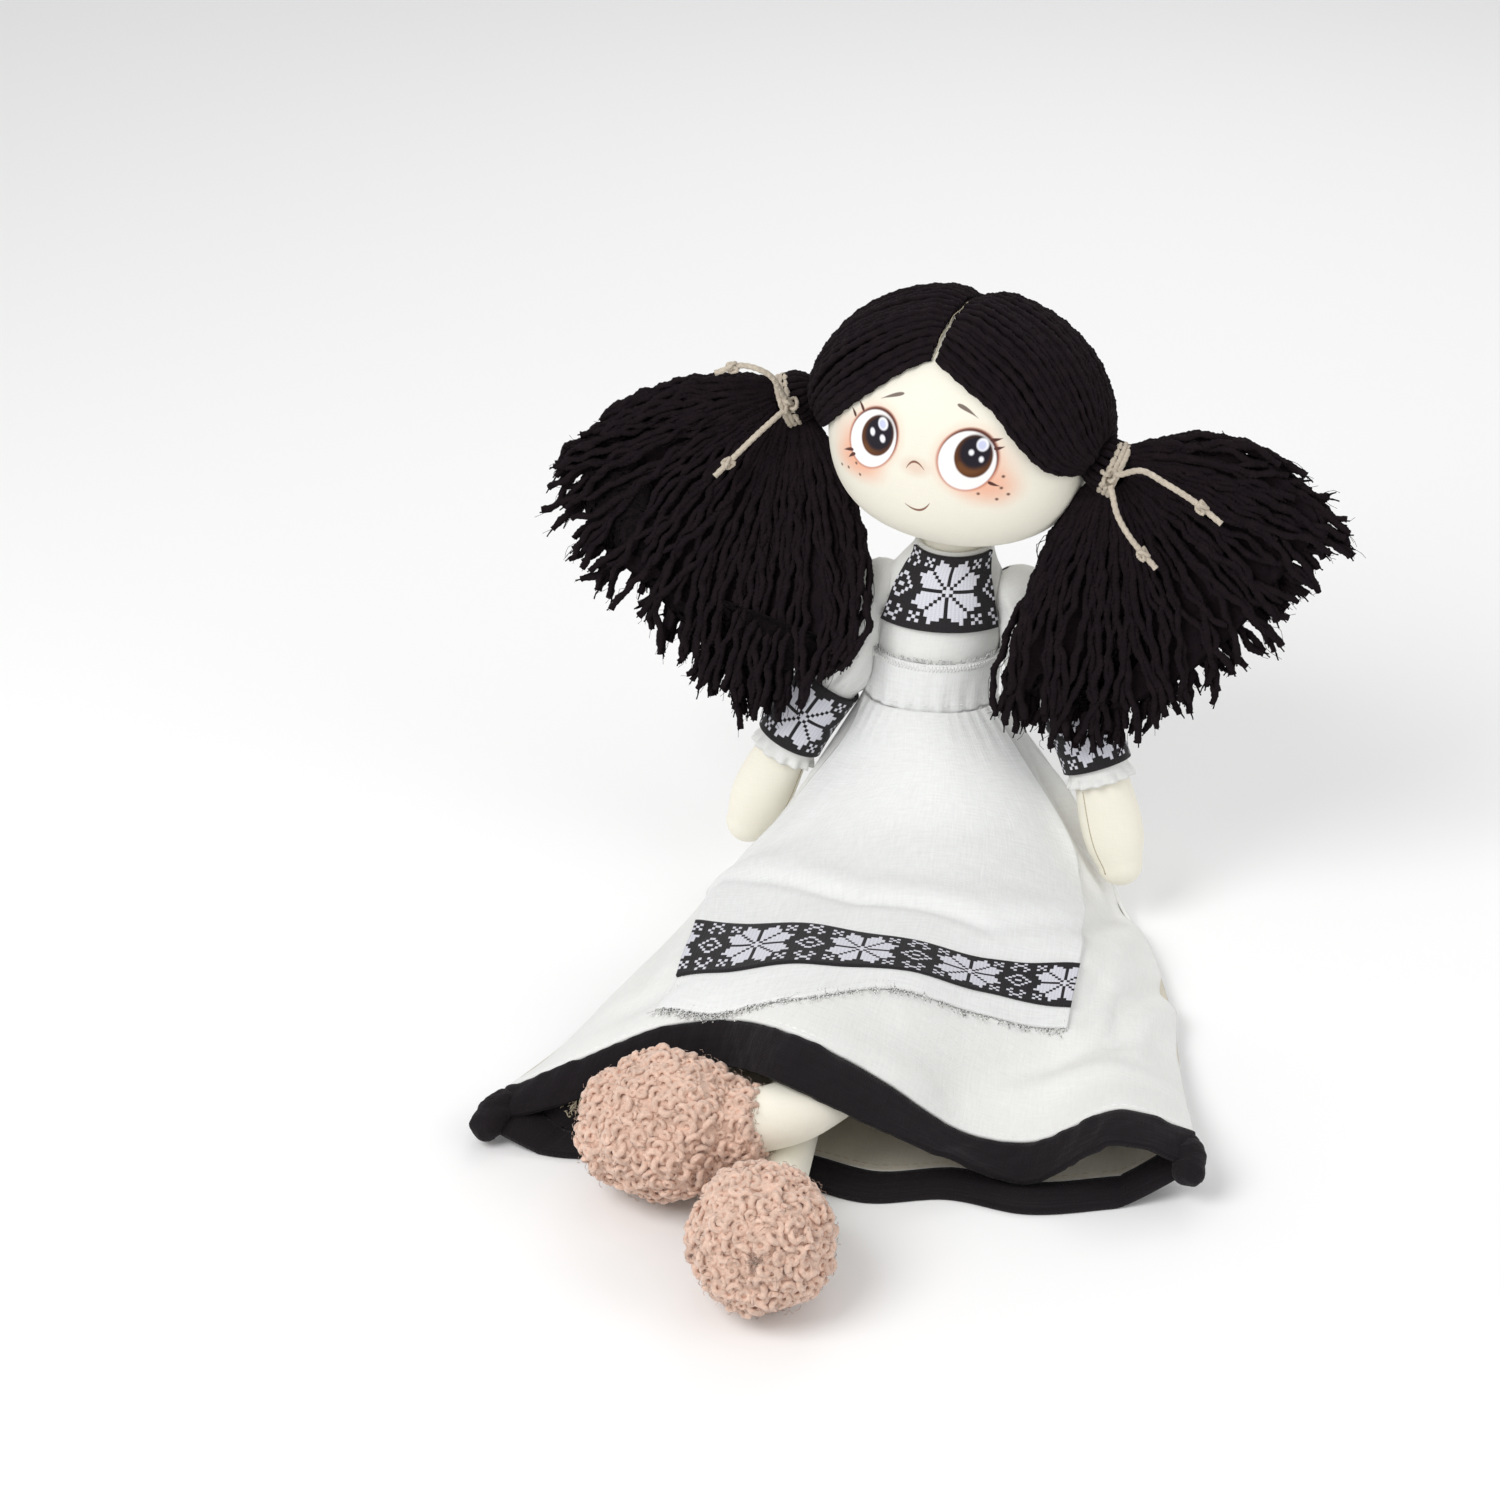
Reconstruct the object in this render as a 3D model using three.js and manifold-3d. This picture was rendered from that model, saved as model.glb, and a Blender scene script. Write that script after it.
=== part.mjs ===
// Sewn rag doll seated on the floor with its ankles crossed, in a linen dress and apron.
// Millimetres. +Z is up, the doll faces -Y, its own left is +X, and the origin is on the
// floor under the seat.
import * as THREE from 'three';
import Module from 'manifold-3d';

const wasm = await Module();
wasm.setup();
const { Manifold, Mesh: SolidMesh } = wasm;

// Driving sizes
const gap = 0.3;                 // clearance between neighbouring pieces
const fineness = 0.06;           // largest shift allowed where a cut surface is thinned out
const cloth = 1.6;               // dress linen with its seam allowances pressed flat
const trim = 1.2;                // woven ribbon, and the apron's linen
const ribbonWidth = 30;          // woven star ribbon on chest, cuffs and apron
const bindingThick = 2.2;        // folded black hem binding

const bodyHeight = 141;             // floor to the middle of the neck joint
const headRise = 37.5;             // middle of the neck joint to the middle of the head
const headCentre = [5.1, 0, bodyHeight + headRise];
const headHalf = [46, 36, 39.5];   // half width, half depth, half height of the stuffed head
const headTurn = -16.5;          // degrees the face is turned to the doll's right
const jawSquareness = 2.8;       // exponent of the lower face: 2 is an ellipse
const crownSquareness = 2.15;
const hairThick = [7.6, 7, 5.4]; // yarn layer at the sides, at front and back, on the crown

const bodyHalfWidth = 31;           // at the seat, the widest place
const bodyHalfDepth = 27;
const neckPivot = [5, 1, bodyHeight];
const neckRadius = 11.5;
const neckNod = 18;                // degrees the head tips back
const shoulder = { left: [28, 0, 113], right: [-21, 0, 111] };
const sleeveDome = 12;
const hip = { left: [18, -14, 15.5], right: [-17, -14, 15.5] };
const hipRadius = 11.3;
const hipLift = 35;                // degrees the legs rise together
const tieShares = { left: [1.117, -0.389, -0.165], right: [-1.274, 0.389, -0.063] };
const tiePlace = (side) => tieShares[side].map((share, i) => headCentre[i] + share * headHalf[i]);
const tie = { left: tiePlace('left'), right: tiePlace('right') };
const twine = 2.2;                 // linen twine thickness
const tieNeck = 8;                 // radius of the hair bundle inside its tie
const wrapRadius = tieNeck + 2.3 * gap;  // middle of the twine wrapped round the bundle
const rootBall = wrapRadius + twine / 2;

// stuffed body from seat to neck, in shares of the sizes above: height, half width, half depth,
// middle across and middle front to back
const bodySectionShares = [
  [0.021, 0.613, 0.556, 0, 0.111], [0.05, 0.871, 0.852, 0, 0.222], [0.142, 1, 1, 0, 0.222],
  [0.284, 0.839, 0.833, 0.016, 0.111], [0.426, 0.694, 0.685, 0, 0.037], [0.553, 0.645, 0.63, -0.048, -0.074],
  [0.674, 0.661, 0.593, -0.016, -0.111], [0.78, 0.694, 0.556, 0.048, -0.074],
  [0.844, 0.629, 0.481, 0.065, -0.037],
  [0.894, 0.484, 0.426, 0.097, 0], [0.936, 0.381, 0.419, 0.145, 0.037], [1, 0.371, 0.426, 0.161, 0.037],
];
const bodySections = bodySectionShares.map(([z, a, b, x, y]) => [z * bodyHeight,
  a * bodyHalfWidth, b * bodyHalfDepth, x * bodyHalfWidth, y * bodyHalfDepth]);
const waistHeight = 77;            // dress seam under the apron band
const bodiceTop = 134;
const bandBottom = waistHeight + cloth / 2;
const bandTop = 96;
const bodyLevelShares = [0.05, 0.113, 0.213, 0.355, 0.454, 0.61, 0.738, 0.794, 0.844, 0.887, 0.915, 1];
const bodyLevels = [...bodyLevelShares.map((share) => share * bodyHeight), bandBottom, bandTop, bodiceTop]
  .sort((low, high) => low - high);

// Small helpers
const V = (x, y, z) => new THREE.Vector3(x, y, z);
const vec = (a) => new THREE.Vector3(a[0], a[1], a[2]);
const rad = THREE.MathUtils.degToRad;
const mix = (a, b, t) => a + (b - a) * t;
const clamp01 = (t) => Math.min(1, Math.max(0, t));
const ease = (t) => clamp01(t) * clamp01(t) * (3 - 2 * clamp01(t));

// Catmull-Rom value through evenly spaced samples
function through(samples, t) {
  const n = samples.length - 1;
  const x = clamp01(t) * n;
  const i = Math.min(n - 1, Math.floor(x));
  const f = x - i;
  const at = (k) => samples[Math.min(n, Math.max(0, k))];
  const [p0, p1, p2, p3] = [at(i - 1), at(i), at(i + 1), at(i + 2)];
  const m1 = (p2 - p0) / 2;
  const m2 = (p3 - p1) / 2;
  return (2 * f ** 3 - 3 * f ** 2 + 1) * p1 + (f ** 3 - 2 * f ** 2 + f) * m1
    + (-2 * f ** 3 + 3 * f ** 2) * p2 + (f ** 3 - f ** 2) * m2;
}

// row of a table whose first column rises, interpolated smoothly at x
function tableAt(table, x) {
  const last = table.length - 1;
  let i = 0;
  while (i < last - 1 && x > table[i + 1][0]) i += 1;
  const f = clamp01((x - table[i][0]) / (table[i + 1][0] - table[i][0]));
  const row = (k) => table[Math.min(last, Math.max(0, k))];
  return table[i].slice(1).map((_, c) => {
    const col = c + 1;
    const span = row(i + 1)[0] - row(i)[0];
    const slope = (a, b) => ((row(b)[col] - row(a)[col]) / (row(b)[0] - row(a)[0] || 1)) * span;
    const m1 = slope(Math.max(0, i - 1), i + 1);
    const m2 = slope(i, Math.min(last, i + 2));
    return (2 * f ** 3 - 3 * f ** 2 + 1) * row(i)[col] + (f ** 3 - 2 * f ** 2 + f) * m1
      + (-2 * f ** 3 + 3 * f ** 2) * row(i + 1)[col] + (f ** 3 - f ** 2) * m2;
  });
}

// closed solid from points and triangles, turned to face outwards
function closed(points, faces) {
  const keep = faces.filter(([a, b, c]) => {
    if (a === b || b === c || a === c) return false;
    const ab = points[b].clone().sub(points[a]);
    const ac = points[c].clone().sub(points[a]);
    return ab.cross(ac).length() > 1e-9;
  });
  let volume = 0;
  for (const [a, b, c] of keep) volume += points[a].dot(points[b].clone().cross(points[c]));
  const order = volume < 0 ? ([a, b, c]) => [a, c, b] : (f) => f;
  const geometry = new THREE.BufferGeometry();
  geometry.setAttribute('position', new THREE.Float32BufferAttribute(
    points.flatMap((p) => [p.x, p.y, p.z]), 3));
  geometry.setIndex(keep.flatMap(order));
  return geometry;
}

// skin over closed rings; ends are fanned shut, or joined to each other when looped
function skin(rings, looped = false) {
  const n = rings[0].length;
  const points = rings.flat();
  const faces = [];
  const m = rings.length;
  for (let r = 0; r < (looped ? m : m - 1); r += 1) {
    const s = (r + 1) % m;
    for (let k = 0; k < n; k += 1) {
      const q = (k + 1) % n;
      faces.push([r * n + k, r * n + q, s * n + q], [r * n + k, s * n + q, s * n + k]);
    }
  }
  if (!looped) {
    for (const r of [0, m - 1]) {
      const mid = rings[r].reduce((a, p) => a.add(p), V(0, 0, 0)).divideScalar(n);
      points.push(mid);
      const c = points.length - 1;
      for (let k = 0; k < n; k += 1) {
        const q = (k + 1) % n;
        faces.push(r === 0 ? [c, r * n + q, r * n + k] : [c, r * n + k, r * n + q]);
      }
    }
  }
  return closed(points, faces);
}

// sheet of cloth between two offsets of the surface at(u, v), v running down the cloth
function sheet(at, across, along, low, high, range = [0, 1, 0, 1]) {
  const [u0, u1, v0, v1] = range;
  const step = 1e-3;
  const layer = (offset) => {
    const pts = [];
    for (let j = 0; j <= along; j += 1) {
      for (let i = 0; i <= across; i += 1) {
        const v = mix(v0, v1, j / along);
        const u = mix(u0, u1, i / across);
        const du = at(Math.min(1, u + step), v).sub(at(Math.max(0, u - step), v));
        const dv = at(u, Math.min(1, v + step)).sub(at(u, Math.max(0, v - step)));
        pts.push(at(u, v).add(dv.cross(du).normalize().multiplyScalar(offset)));
      }
    }
    return pts;
  };
  const points = [...layer(low), ...layer(high)];
  const w = across + 1;
  const half = w * (along + 1);
  const faces = [];
  const quad = (a, b, c, d) => faces.push([a, b, c], [a, c, d]);
  for (let j = 0; j < along; j += 1) {
    for (let i = 0; i < across; i += 1) {
      const a = j * w + i;
      quad(a, a + 1, a + w + 1, a + w);
      quad(half + a, half + a + w, half + a + w + 1, half + a + 1);
    }
  }
  for (let i = 0; i < across; i += 1) {
    const b = along * w + i;
    quad(i, half + i, half + i + 1, i + 1);
    quad(b, b + 1, half + b + 1, half + b);
  }
  for (let j = 0; j < along; j += 1) {
    const a = j * w;
    const b = a + across;
    quad(a, a + w, half + a + w, half + a);
    quad(b, half + b, half + b + w, b + w);
  }
  return closed(points, faces);
}

// stuffed limb along a path: rows of [distance, half width, half depth], rounded at both ends
function limb(path, rows, side, grow = 0, ends = [0, 0], sides = 16) {
  const curve = new THREE.CatmullRomCurve3(path, false, 'centripetal');
  const length = curve.getLength();
  const at = (s) => {
    const t = clamp01(s / length);
    const tangent = curve.getTangentAt(t);
    const over = s < 0 ? s : Math.max(0, s - length);
    return [curve.getPointAt(t).addScaledVector(tangent, over), tangent];
  };
  const first = rows[0];
  const last = rows[rows.length - 1];
  const list = [];
  const dome = [12, 34, 56, 76];
  const startRise = (ends[0] || Math.min(first[1], first[2])) + grow;
  const endRise = (ends[1] || Math.min(last[1], last[2])) + grow;
  for (const d of dome) {
    const k = Math.sin(rad(d));
    list.push([first[0] - startRise * Math.cos(rad(d)), (first[1] + grow) * k, (first[2] + grow) * k]);
  }
  for (let i = 0; i < rows.length; i += 1) list.push([rows[i][0], rows[i][1] + grow, rows[i][2] + grow]);
  for (const d of [...dome].reverse()) {
    const k = Math.sin(rad(d));
    list.push([last[0] + endRise * Math.cos(rad(d)), (last[1] + grow) * k, (last[2] + grow) * k]);
  }
  const rings = list.map(([s, a, b]) => {
    const [p, tangent] = at(s);
    const across = side.clone().addScaledVector(tangent, -side.dot(tangent)).normalize();
    const up = tangent.clone().cross(across);
    return Array.from({ length: sides }, (_, k) => {
      const q = (2 * Math.PI * k) / sides;
      return p.clone().addScaledVector(across, a * Math.cos(q)).addScaledVector(up, b * Math.sin(q));
    });
  });
  return skin(rings);
}

const toSolid = (geometry) => new Manifold(new SolidMesh({
  numProp: 3,
  vertProperties: new Float32Array(geometry.attributes.position.array),
  triVerts: new Uint32Array(geometry.index.array),
}));
function fromSolid(solid) {
  const parts = solid.simplify(fineness).decompose().sort((a, b) => b.volume() - a.volume());
  const mesh = parts[0].getMesh();
  const geometry = new THREE.BufferGeometry();
  geometry.setAttribute('position', new THREE.Float32BufferAttribute(mesh.vertProperties, 3));
  geometry.setIndex(Array.from(mesh.triVerts));
  return geometry;
}
const cut = (geometry, ...tools) => {
  let solid = toSolid(geometry);
  for (const tool of tools) {
    solid = solid.subtract(tool instanceof THREE.BufferGeometry ? toSolid(tool) : tool);
  }
  return fromSolid(solid);
};
const ball = (centre, radius, segments = 32) => Manifold.sphere(radius, segments)
  .translate(centre);
const block = (low, high) => Manifold.cube([high[0] - low[0], high[1] - low[1], high[2] - low[2]])
  .translate(low);

// Materials and nodes
const paint = (color, roughness = 0.9) => new THREE.MeshStandardMaterial({ color, roughness });
const colours = {
  skin: 0xf3ecd8, hair: 0x1c1418, linen: 0xefeee8, apron: 0xf0f0ec, ribbon: 0x55545a,
  binding: 0x232024, yarn: 0xcfab97, twine: 0xbdb19e,
};
const doll = new THREE.Group();
doll.name = 'rag_doll';
const figure = {};
for (const name of ['dress', 'head', 'arm_left', 'arm_right', 'leg_left', 'leg_right',
  'pigtail_left', 'pigtail_right']) {
  figure[name] = new THREE.Group();
  figure[name].name = `group_${name}`;
  doll.add(figure[name]);
}
function place(group, name, geometry, color) {
  const mesh = new THREE.Mesh(geometry, paint(color));
  mesh.name = name;
  figure[group].add(mesh);
  return mesh;
}

// Body
// point of the body's outline at height z and angle q, moved outwards by out
function bodyPoint(z, q, out = 0) {
  const [a, b, x, y] = tableAt(bodySections, z);
  return V(x + (a + out) * Math.cos(q), y + (b + out) * Math.sin(q), z);
}
const bodySides = 20;
const ringAt = (z, out, sides = bodySides) => Array.from(
  { length: sides }, (_, k) => bodyPoint(z, (2 * Math.PI * k) / sides, out));
const levelsBetween = (low, high) => [
  low, ...bodyLevels.filter((z) => z > low + gap && z < high - gap), high];
const bodySolid = (out = 0, low = bodySections[0][0], high = neckPivot[2]) => (
  levelsBetween(low, high).map((z) => ringAt(z, out)));
// tube of cloth round the body between two heights
const bodyTube = (low, high, inner, thick) => skin([
  ...levelsBetween(low, high).map((z) => ringAt(z, inner + thick)),
  ...levelsBetween(low, high).reverse().map((z) => ringAt(z, inner)),
], true);
function neckDome(out) {
  return [20, 42, 62, 80].map((d) => {
    const r = (neckRadius + out) * Math.cos(rad(d));
    const z = neckPivot[2] + (neckRadius + out) * Math.sin(rad(d));
    return Array.from({ length: bodySides }, (_, k) => {
      const q = (2 * Math.PI * k) / bodySides;
      return V(neckPivot[0] + r * Math.cos(q), neckPivot[1] + r * Math.sin(q), z);
    });
  });
}

const sides = ['left', 'right'];
const shoulderBalls = sides.map((s) => ball(shoulder[s], sleeveDome + 1.5 * gap, 24));

// bends of each leg from its hip, in shares of legLength
const legLength = 200;
const legPathShares = {
  left: [[0, 0, 0], [-0.03, -0.33, 0.025], [-0.075, -0.63, 0.048], [-0.115, -0.77, 0.06],
    [-0.145, -0.855, 0.075], [-0.19, -0.925, 0.084], [-0.25, -0.95, 0.077],
    [-0.31, -0.95, 0.065], [-0.39, -0.935, 0.048]],
  right: [[0, 0, 0], [-0.01, -0.28, -0.015], [-0.025, -0.63, -0.015],
    [-0.025, -0.955, -0.017], [-0.018, -1.085, 0.003], [-0.01, -1.2, 0.047]],
};
const legPoints = (side) => legPathShares[side].map((share) => (
  vec(share).multiplyScalar(legLength).add(vec(hip[side]))));
const legCurve = (side) => new THREE.CatmullRomCurve3(legPoints(side), false, 'centripetal');

// room in the body for the thighs, at rest and raised
const thighRoomRadius = hipRadius + 2.5 * gap;
const thighPlace = (side) => legPoints(side)[1];
const thighRoom = sides.flatMap((side) => [0, 0.5, 1].map((share) => {
  const away = thighPlace(side).sub(vec(hip[side]))
    .applyAxisAngle(V(-1, 0, 0), rad(share * hipLift));
  const far = vec(hip[side]).addScaledVector(away.normalize(), 1.5 * bodyHalfWidth);
  return Manifold.hull([ball(hip[side], thighRoomRadius, 16),
    ball(far.toArray(), thighRoomRadius + 3 * gap, 16)]);
}));
const lapRoom = block([-1.1 * bodyHalfWidth, -2 * bodyHalfWidth, 0],
  [1.1 * bodyHalfWidth, hip.left[1] + cloth, hip.left[2]]);

place('dress', 'torso', cut(
  skin([...bodySolid(), ...neckDome(0)]), ...shoulderBalls, ...thighRoom, lapRoom), colours.skin);

// bodice: a fitted tube from the waist seam to the rolled neck edge
place('dress', 'bodice', cut(bodyTube(bandBottom, bodiceTop, gap, cloth), ...shoulderBalls),
  colours.linen);

// chest ribbon: star ribbon trimmed to the front between the armholes
const chest = { low: 102.5, high: 129.5, lowHalf: 55, highHalf: 63 };
const frontAngle = -88;
const chestAt = (u, v) => {
  const z = mix(chest.high, chest.low, v);
  const half = mix(chest.highHalf, chest.lowHalf, ease(v)) - 8 * Math.sin(Math.PI * v);
  return bodyPoint(z, rad(frontAngle + mix(-half, half, u)), 2 * gap + cloth + gap);
};
place('dress', 'chest_ribbon', cut(sheet(chestAt, 12, 7, 0, trim), ...shoulderBalls),
  colours.ribbon);

// apron band round the waist
place('dress', 'apron_waistband', bodyTube(bandBottom, bandTop, 2 * gap + cloth, trim), colours.apron);

// Skirt
// Each row runs from the left-hand tip of the picture to the right: the two side seams
// [across, out, up], then the heights and the reach of eight folds between them, in shares of
// the skirt's half width, length and rise.
const skirtHalfWidth = 120;
const skirtLength = 200;
const skirtRise = 64;
const frontRowShares = [
  { seams: [[-0.329, -0.06, 0.734], [0.392, -0.035, 0.672]],
    height: [0.828, 0.906, 0.969, 1, 1, 0.953, 0.891, 0.797],
    reach: [-0.11, -0.15, -0.175, -0.185, -0.185, -0.17, -0.14, -0.095] },
  { seams: [[-0.55, -0.24, 0.234], [0.592, -0.12, 0.109]],
    height: [0.531, 0.656, 0.75, 0.797, 0.797, 0.719, 0.578, 0.344],
    reach: [-0.25, -0.25, -0.25, -0.255, -0.255, -0.245, -0.215, -0.17] },
  { seams: [[-0.658, -0.355, 0.141], [0.7, -0.26, 0.078]],
    height: [0.469, 0.609, 0.672, 0.719, 0.719, 0.641, 0.516, 0.312],
    reach: [-0.34, -0.34, -0.34, -0.345, -0.345, -0.335, -0.32, -0.29] },
  { seams: [[-0.758, -0.51, 0.109], [0.775, -0.44, 0.078]],
    height: [0.438, 0.578, 0.641, 0.68, 0.672, 0.594, 0.469, 0.312],
    reach: [-0.47, -0.46, -0.455, -0.46, -0.46, -0.45, -0.44, -0.43] },
  { seams: [[-0.875, -0.705, 0.094], [0.825, -0.665, 0.125]],
    height: [0.391, 0.562, 0.656, 0.719, 0.664, 0.406, 0.234, 0.281],
    reach: [-0.67, -0.66, -0.66, -0.69, -0.69, -0.675, -0.67, -0.665] },
  { seams: [[-0.963, -0.86, 0.156], [0.863, -0.825, 0.234]],
    height: [0.328, 0.516, 0.656, 0.82, 0.562, 0.219, 0.172, 0.406],
    reach: [-0.83, -0.81, -0.835, -0.935, -0.91, -0.87, -0.86, -0.855] },
  { seams: [[-1.008, -0.935, 0.102], [0.871, -0.89, 0.188]],
    height: [0.164, 0.281, 0.453, 0.711, 0.445, 0.203, 0.086, 0.375],
    reach: [-0.89, -0.845, -0.87, -1.01, -0.975, -0.94, -0.93, -0.93] },
];
const backRowShares = [
  { height: 0.625, reach: [0.03, 0.11, 0.15, 0.17, 0.17, 0.155, 0.115, 0.04] },
  { height: 0.125, reach: [-0.03, 0.1, 0.185, 0.22, 0.22, 0.185, 0.11, 0] },
  { height: 0, reach: [-0.15, -0.02, 0.07, 0.11, 0.11, 0.07, -0.01, -0.13] },
  { height: 0, reach: [-0.46, -0.45, -0.45, -0.45, -0.45, -0.45, -0.45, -0.44] },
  { height: 0, reach: [-0.705, -0.705, -0.705, -0.705, -0.705, -0.705, -0.705, -0.685] },
  { height: 0, reach: [-0.9, -0.91, -0.9, -0.89, -0.915, -0.885, -0.9, -0.865] },
  { height: 0, reach: [-0.96, -0.945, -0.94, -0.96, -0.99, -0.96, -0.975, -0.94] },
];
const bandShares = [0, 0.14, 0.28, 0.37, 0.55, 0.76, 0.925, 1];  // of the panel's length
const hemShare = 0.925;

function columns(row, seams) {
  const [left, right] = seams.map(vec);
  const list = [left];
  const count = row.reach.length;
  for (let i = 0; i < count; i += 1) {
    const x = mix(left.x, right.x, (i + 1) / (count + 1));
    const z = typeof row.height === 'number' ? row.height : row.height[i];
    list.push(V(x, row.reach[i], z));
  }
  list.push(right);
  return list.map((p) => p.multiply(V(skirtHalfWidth, skirtLength, skirtRise)));
}
const waistRow = (front) => Array.from({ length: 10 }, (_, i) => {
  const q = front ? mix(-180, 0, i / 9) : mix(180, 0, i / 9);
  return bodyPoint(waistHeight, rad(q), gap + cloth / 2);
});
function panel(front) {
  const rows = [waistRow(front), ...frontRowShares.map((row, i) => (
    columns(front ? row : backRowShares[i], row.seams)))];
  const shares = bandShares;
  return (u, v) => {
    let k = 0;
    while (k < shares.length - 2 && v > shares[k + 1]) k += 1;
    const place1 = (k + clamp01((v - shares[k]) / (shares[k + 1] - shares[k]))) / (shares.length - 1);
    const pick = (axis) => through(rows.map((row) => through(row.map((p) => p[axis]), u)), place1);
    return V(pick('x'), pick('y'), pick('z'));
  };
}
const frontAt = panel(true);
const backFree = panel(false);
// the back panel lies flat on the floor: it never dips under its own half thickness
const backAt = (u, v) => {
  const p = backFree(u, v);
  p.z = p.z < cloth / 2 + gap ? cloth / 2 : p.z;
  return p;
};
const folds = { across: 23, along: 13 };
const hemStart = hemShare + 0.003;
const seamInsetShare = 0.01;       // the front's seams lie just inside the back's
const panelPart = (at, low, high, from, to, along) => {
  const inset = at === frontAt ? seamInsetShare : 0;
  return sheet(at, folds.across, along, low, high, [inset, 1 - inset, from, to]);
};
const backCloth = (more) => panelPart(backAt, -cloth / 2 - more, cloth / 2 + more, 0, hemShare,
  folds.along);
const backBinding = (more) => panelPart(backAt, -cloth / 2 - more, bindingThick - cloth / 2 + more,
  hemStart, 1, 2);
place('dress', 'skirt_back', backCloth(0), colours.linen);
place('dress', 'skirt_front', cut(
  panelPart(frontAt, -cloth / 2, cloth / 2, 0, hemShare, folds.along), backCloth(gap),
  backBinding(gap)), colours.linen);
place('dress', 'hem_band_back', backBinding(0), colours.binding);
place('dress', 'hem_band_front', cut(
  panelPart(frontAt, -bindingThick / 2, bindingThick / 2, hemStart, 1, 2), backCloth(gap),
  backBinding(gap)), colours.binding);

// apron: a panel that widens from the band to its frayed hem, with the ribbon sewn across;
// s runs across it and t down it
const apronLeftShares = [0.1, 0.035, 0.1, 0.17, 0.2];
const apronRightShares = [0.86, 0.9, 0.85, 0.825, 0.81];
const apronTopShare = 0.02;
const apronBottomShares = [0.87, 0.915, 0.86, 0.795, 0.762, 0.727, 0.7];
const apronAt = (s, t) => frontAt(
  mix(through(apronLeftShares, t), through(apronRightShares, t), s),
  mix(apronTopShare, through(apronBottomShares, s), t));
const apronLift = cloth / 2 + 4 * gap;
place('dress', 'apron_panel', sheet(apronAt, 16, 10, apronLift, apronLift + trim), colours.apron);
const ribbonFromShares = [0.676, 0.693, 0.752, 0.832, 0.849, 0.842, 0.816];
const ribbonToShares = [0.882, 0.869, 0.893, 0.942, 0.937, 0.934, 0.941];
const ribbonAt = (s, w) => apronAt(s, mix(through(ribbonFromShares, s), through(ribbonToShares, s), w));
const ribbonLift = apronLift + trim + 1.5 * gap;
place('dress', 'apron_ribbon', sheet(ribbonAt, 16, 2, ribbonLift, ribbonLift + trim), colours.ribbon);

// Head and hair
const turn = new THREE.Matrix4().makeRotationZ(rad(headTurn));
// point of the head at direction (x, y, z) in its own frame, moved outwards by out
function headPoint(direction, out = [0, 0, 0]) {
  const half = headHalf.map((h, i) => h + out[i]);
  const p = [direction.x / half[0], direction.y / half[1], direction.z / half[2]];
  const flat = Math.hypot(p[0], p[1]);
  const power = direction.z < 0 ? jawSquareness : crownSquareness;
  const r = 1 / (flat ** power + Math.abs(p[2]) ** power) ** (1 / power);
  return direction.clone().multiplyScalar(r).applyMatrix4(turn).add(vec(headCentre));
}
const headRings = [];
const headSteps = 15;
const headSides = 24;
for (let i = 1; i < headSteps; i += 1) {
  const lat = rad(mix(-90, 90, i / headSteps));
  headRings.push(Array.from({ length: headSides }, (_, k) => {
    const lon = (2 * Math.PI * k) / headSides;
    return headPoint(V(Math.cos(lat) * Math.cos(lon) * headHalf[0],
      Math.cos(lat) * Math.sin(lon) * headHalf[1], Math.sin(lat) * headHalf[2]));
  }));
}
const neckRoomTop = neckRadius / 4;
const neckRoomDepth = 2 * neckRadius;   // the flare under the head lets it tip back
const neckRoom = [
  ball(neckPivot, neckRadius + 1.3 * gap, 28),
  Manifold.cylinder(neckRoomDepth, 2 * neckRadius, neckRadius, 32)
    .translate([neckPivot[0], neckPivot[1], neckPivot[2] + neckRoomTop - neckRoomDepth]),
];
const tieRoom = sides.map((s) => ball(tie[s], rootBall + gap, 20));
place('head', 'head', cut(skin(headRings), ...neckRoom, ...tieRoom), colours.skin);

// hair cap: every lock runs from the parting to the tie; u goes from brow to nape
// The brow lock follows the hairline; directions are shares of the head's half sizes.
const peakShare = V(0, -0.66, 0.76);
const napeShare = V(0, 0.93, -0.42);
const hairlineShares = {
  left: [[0, -0.655, 0.755], [0.255, -0.74, 0.62], [0.475, -0.745, 0.469], [0.64, -0.725, 0.25],
    [0.83, -0.56, 0], [1, -0.1, -0.14]],
  right: [[0, -0.655, 0.755], [-0.17, -0.735, 0.656], [-0.44, -0.79, 0.43], [-0.73, -0.665, 0.14],
    [-0.92, -0.4, -0.06], [-1, -0.1, -0.08]],
};
function lock(side, u, v) {
  const sign = side === 'left' ? 1 : -1;
  const round = mix(Math.atan2(peakShare.z, peakShare.y), Math.atan2(napeShare.z, napeShare.y), u);
  const start = V(0.02 * sign, Math.cos(round), Math.sin(round));
  const spread = rad(mix(-115, 115, u));
  const end = V(sign, 0.17 * Math.sin(spread), -0.12 + 0.13 * Math.cos(spread));
  const p = start.clone().lerp(end, v);
  const brow = V(...[0, 1, 2].map((c) => through(hairlineShares[side].map((row) => row[c]), v)));
  const brushed = peakShare.clone().lerp(V(sign, -0.17, -0.12), v);
  p.addScaledVector(brow.sub(brushed), (1 - u) ** 3);
  p.y += 0.1 * Math.sin(Math.PI * v) * u * u;
  return V(p.x * headHalf[0], p.y * headHalf[1], p.z * headHalf[2]);
}
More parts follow.
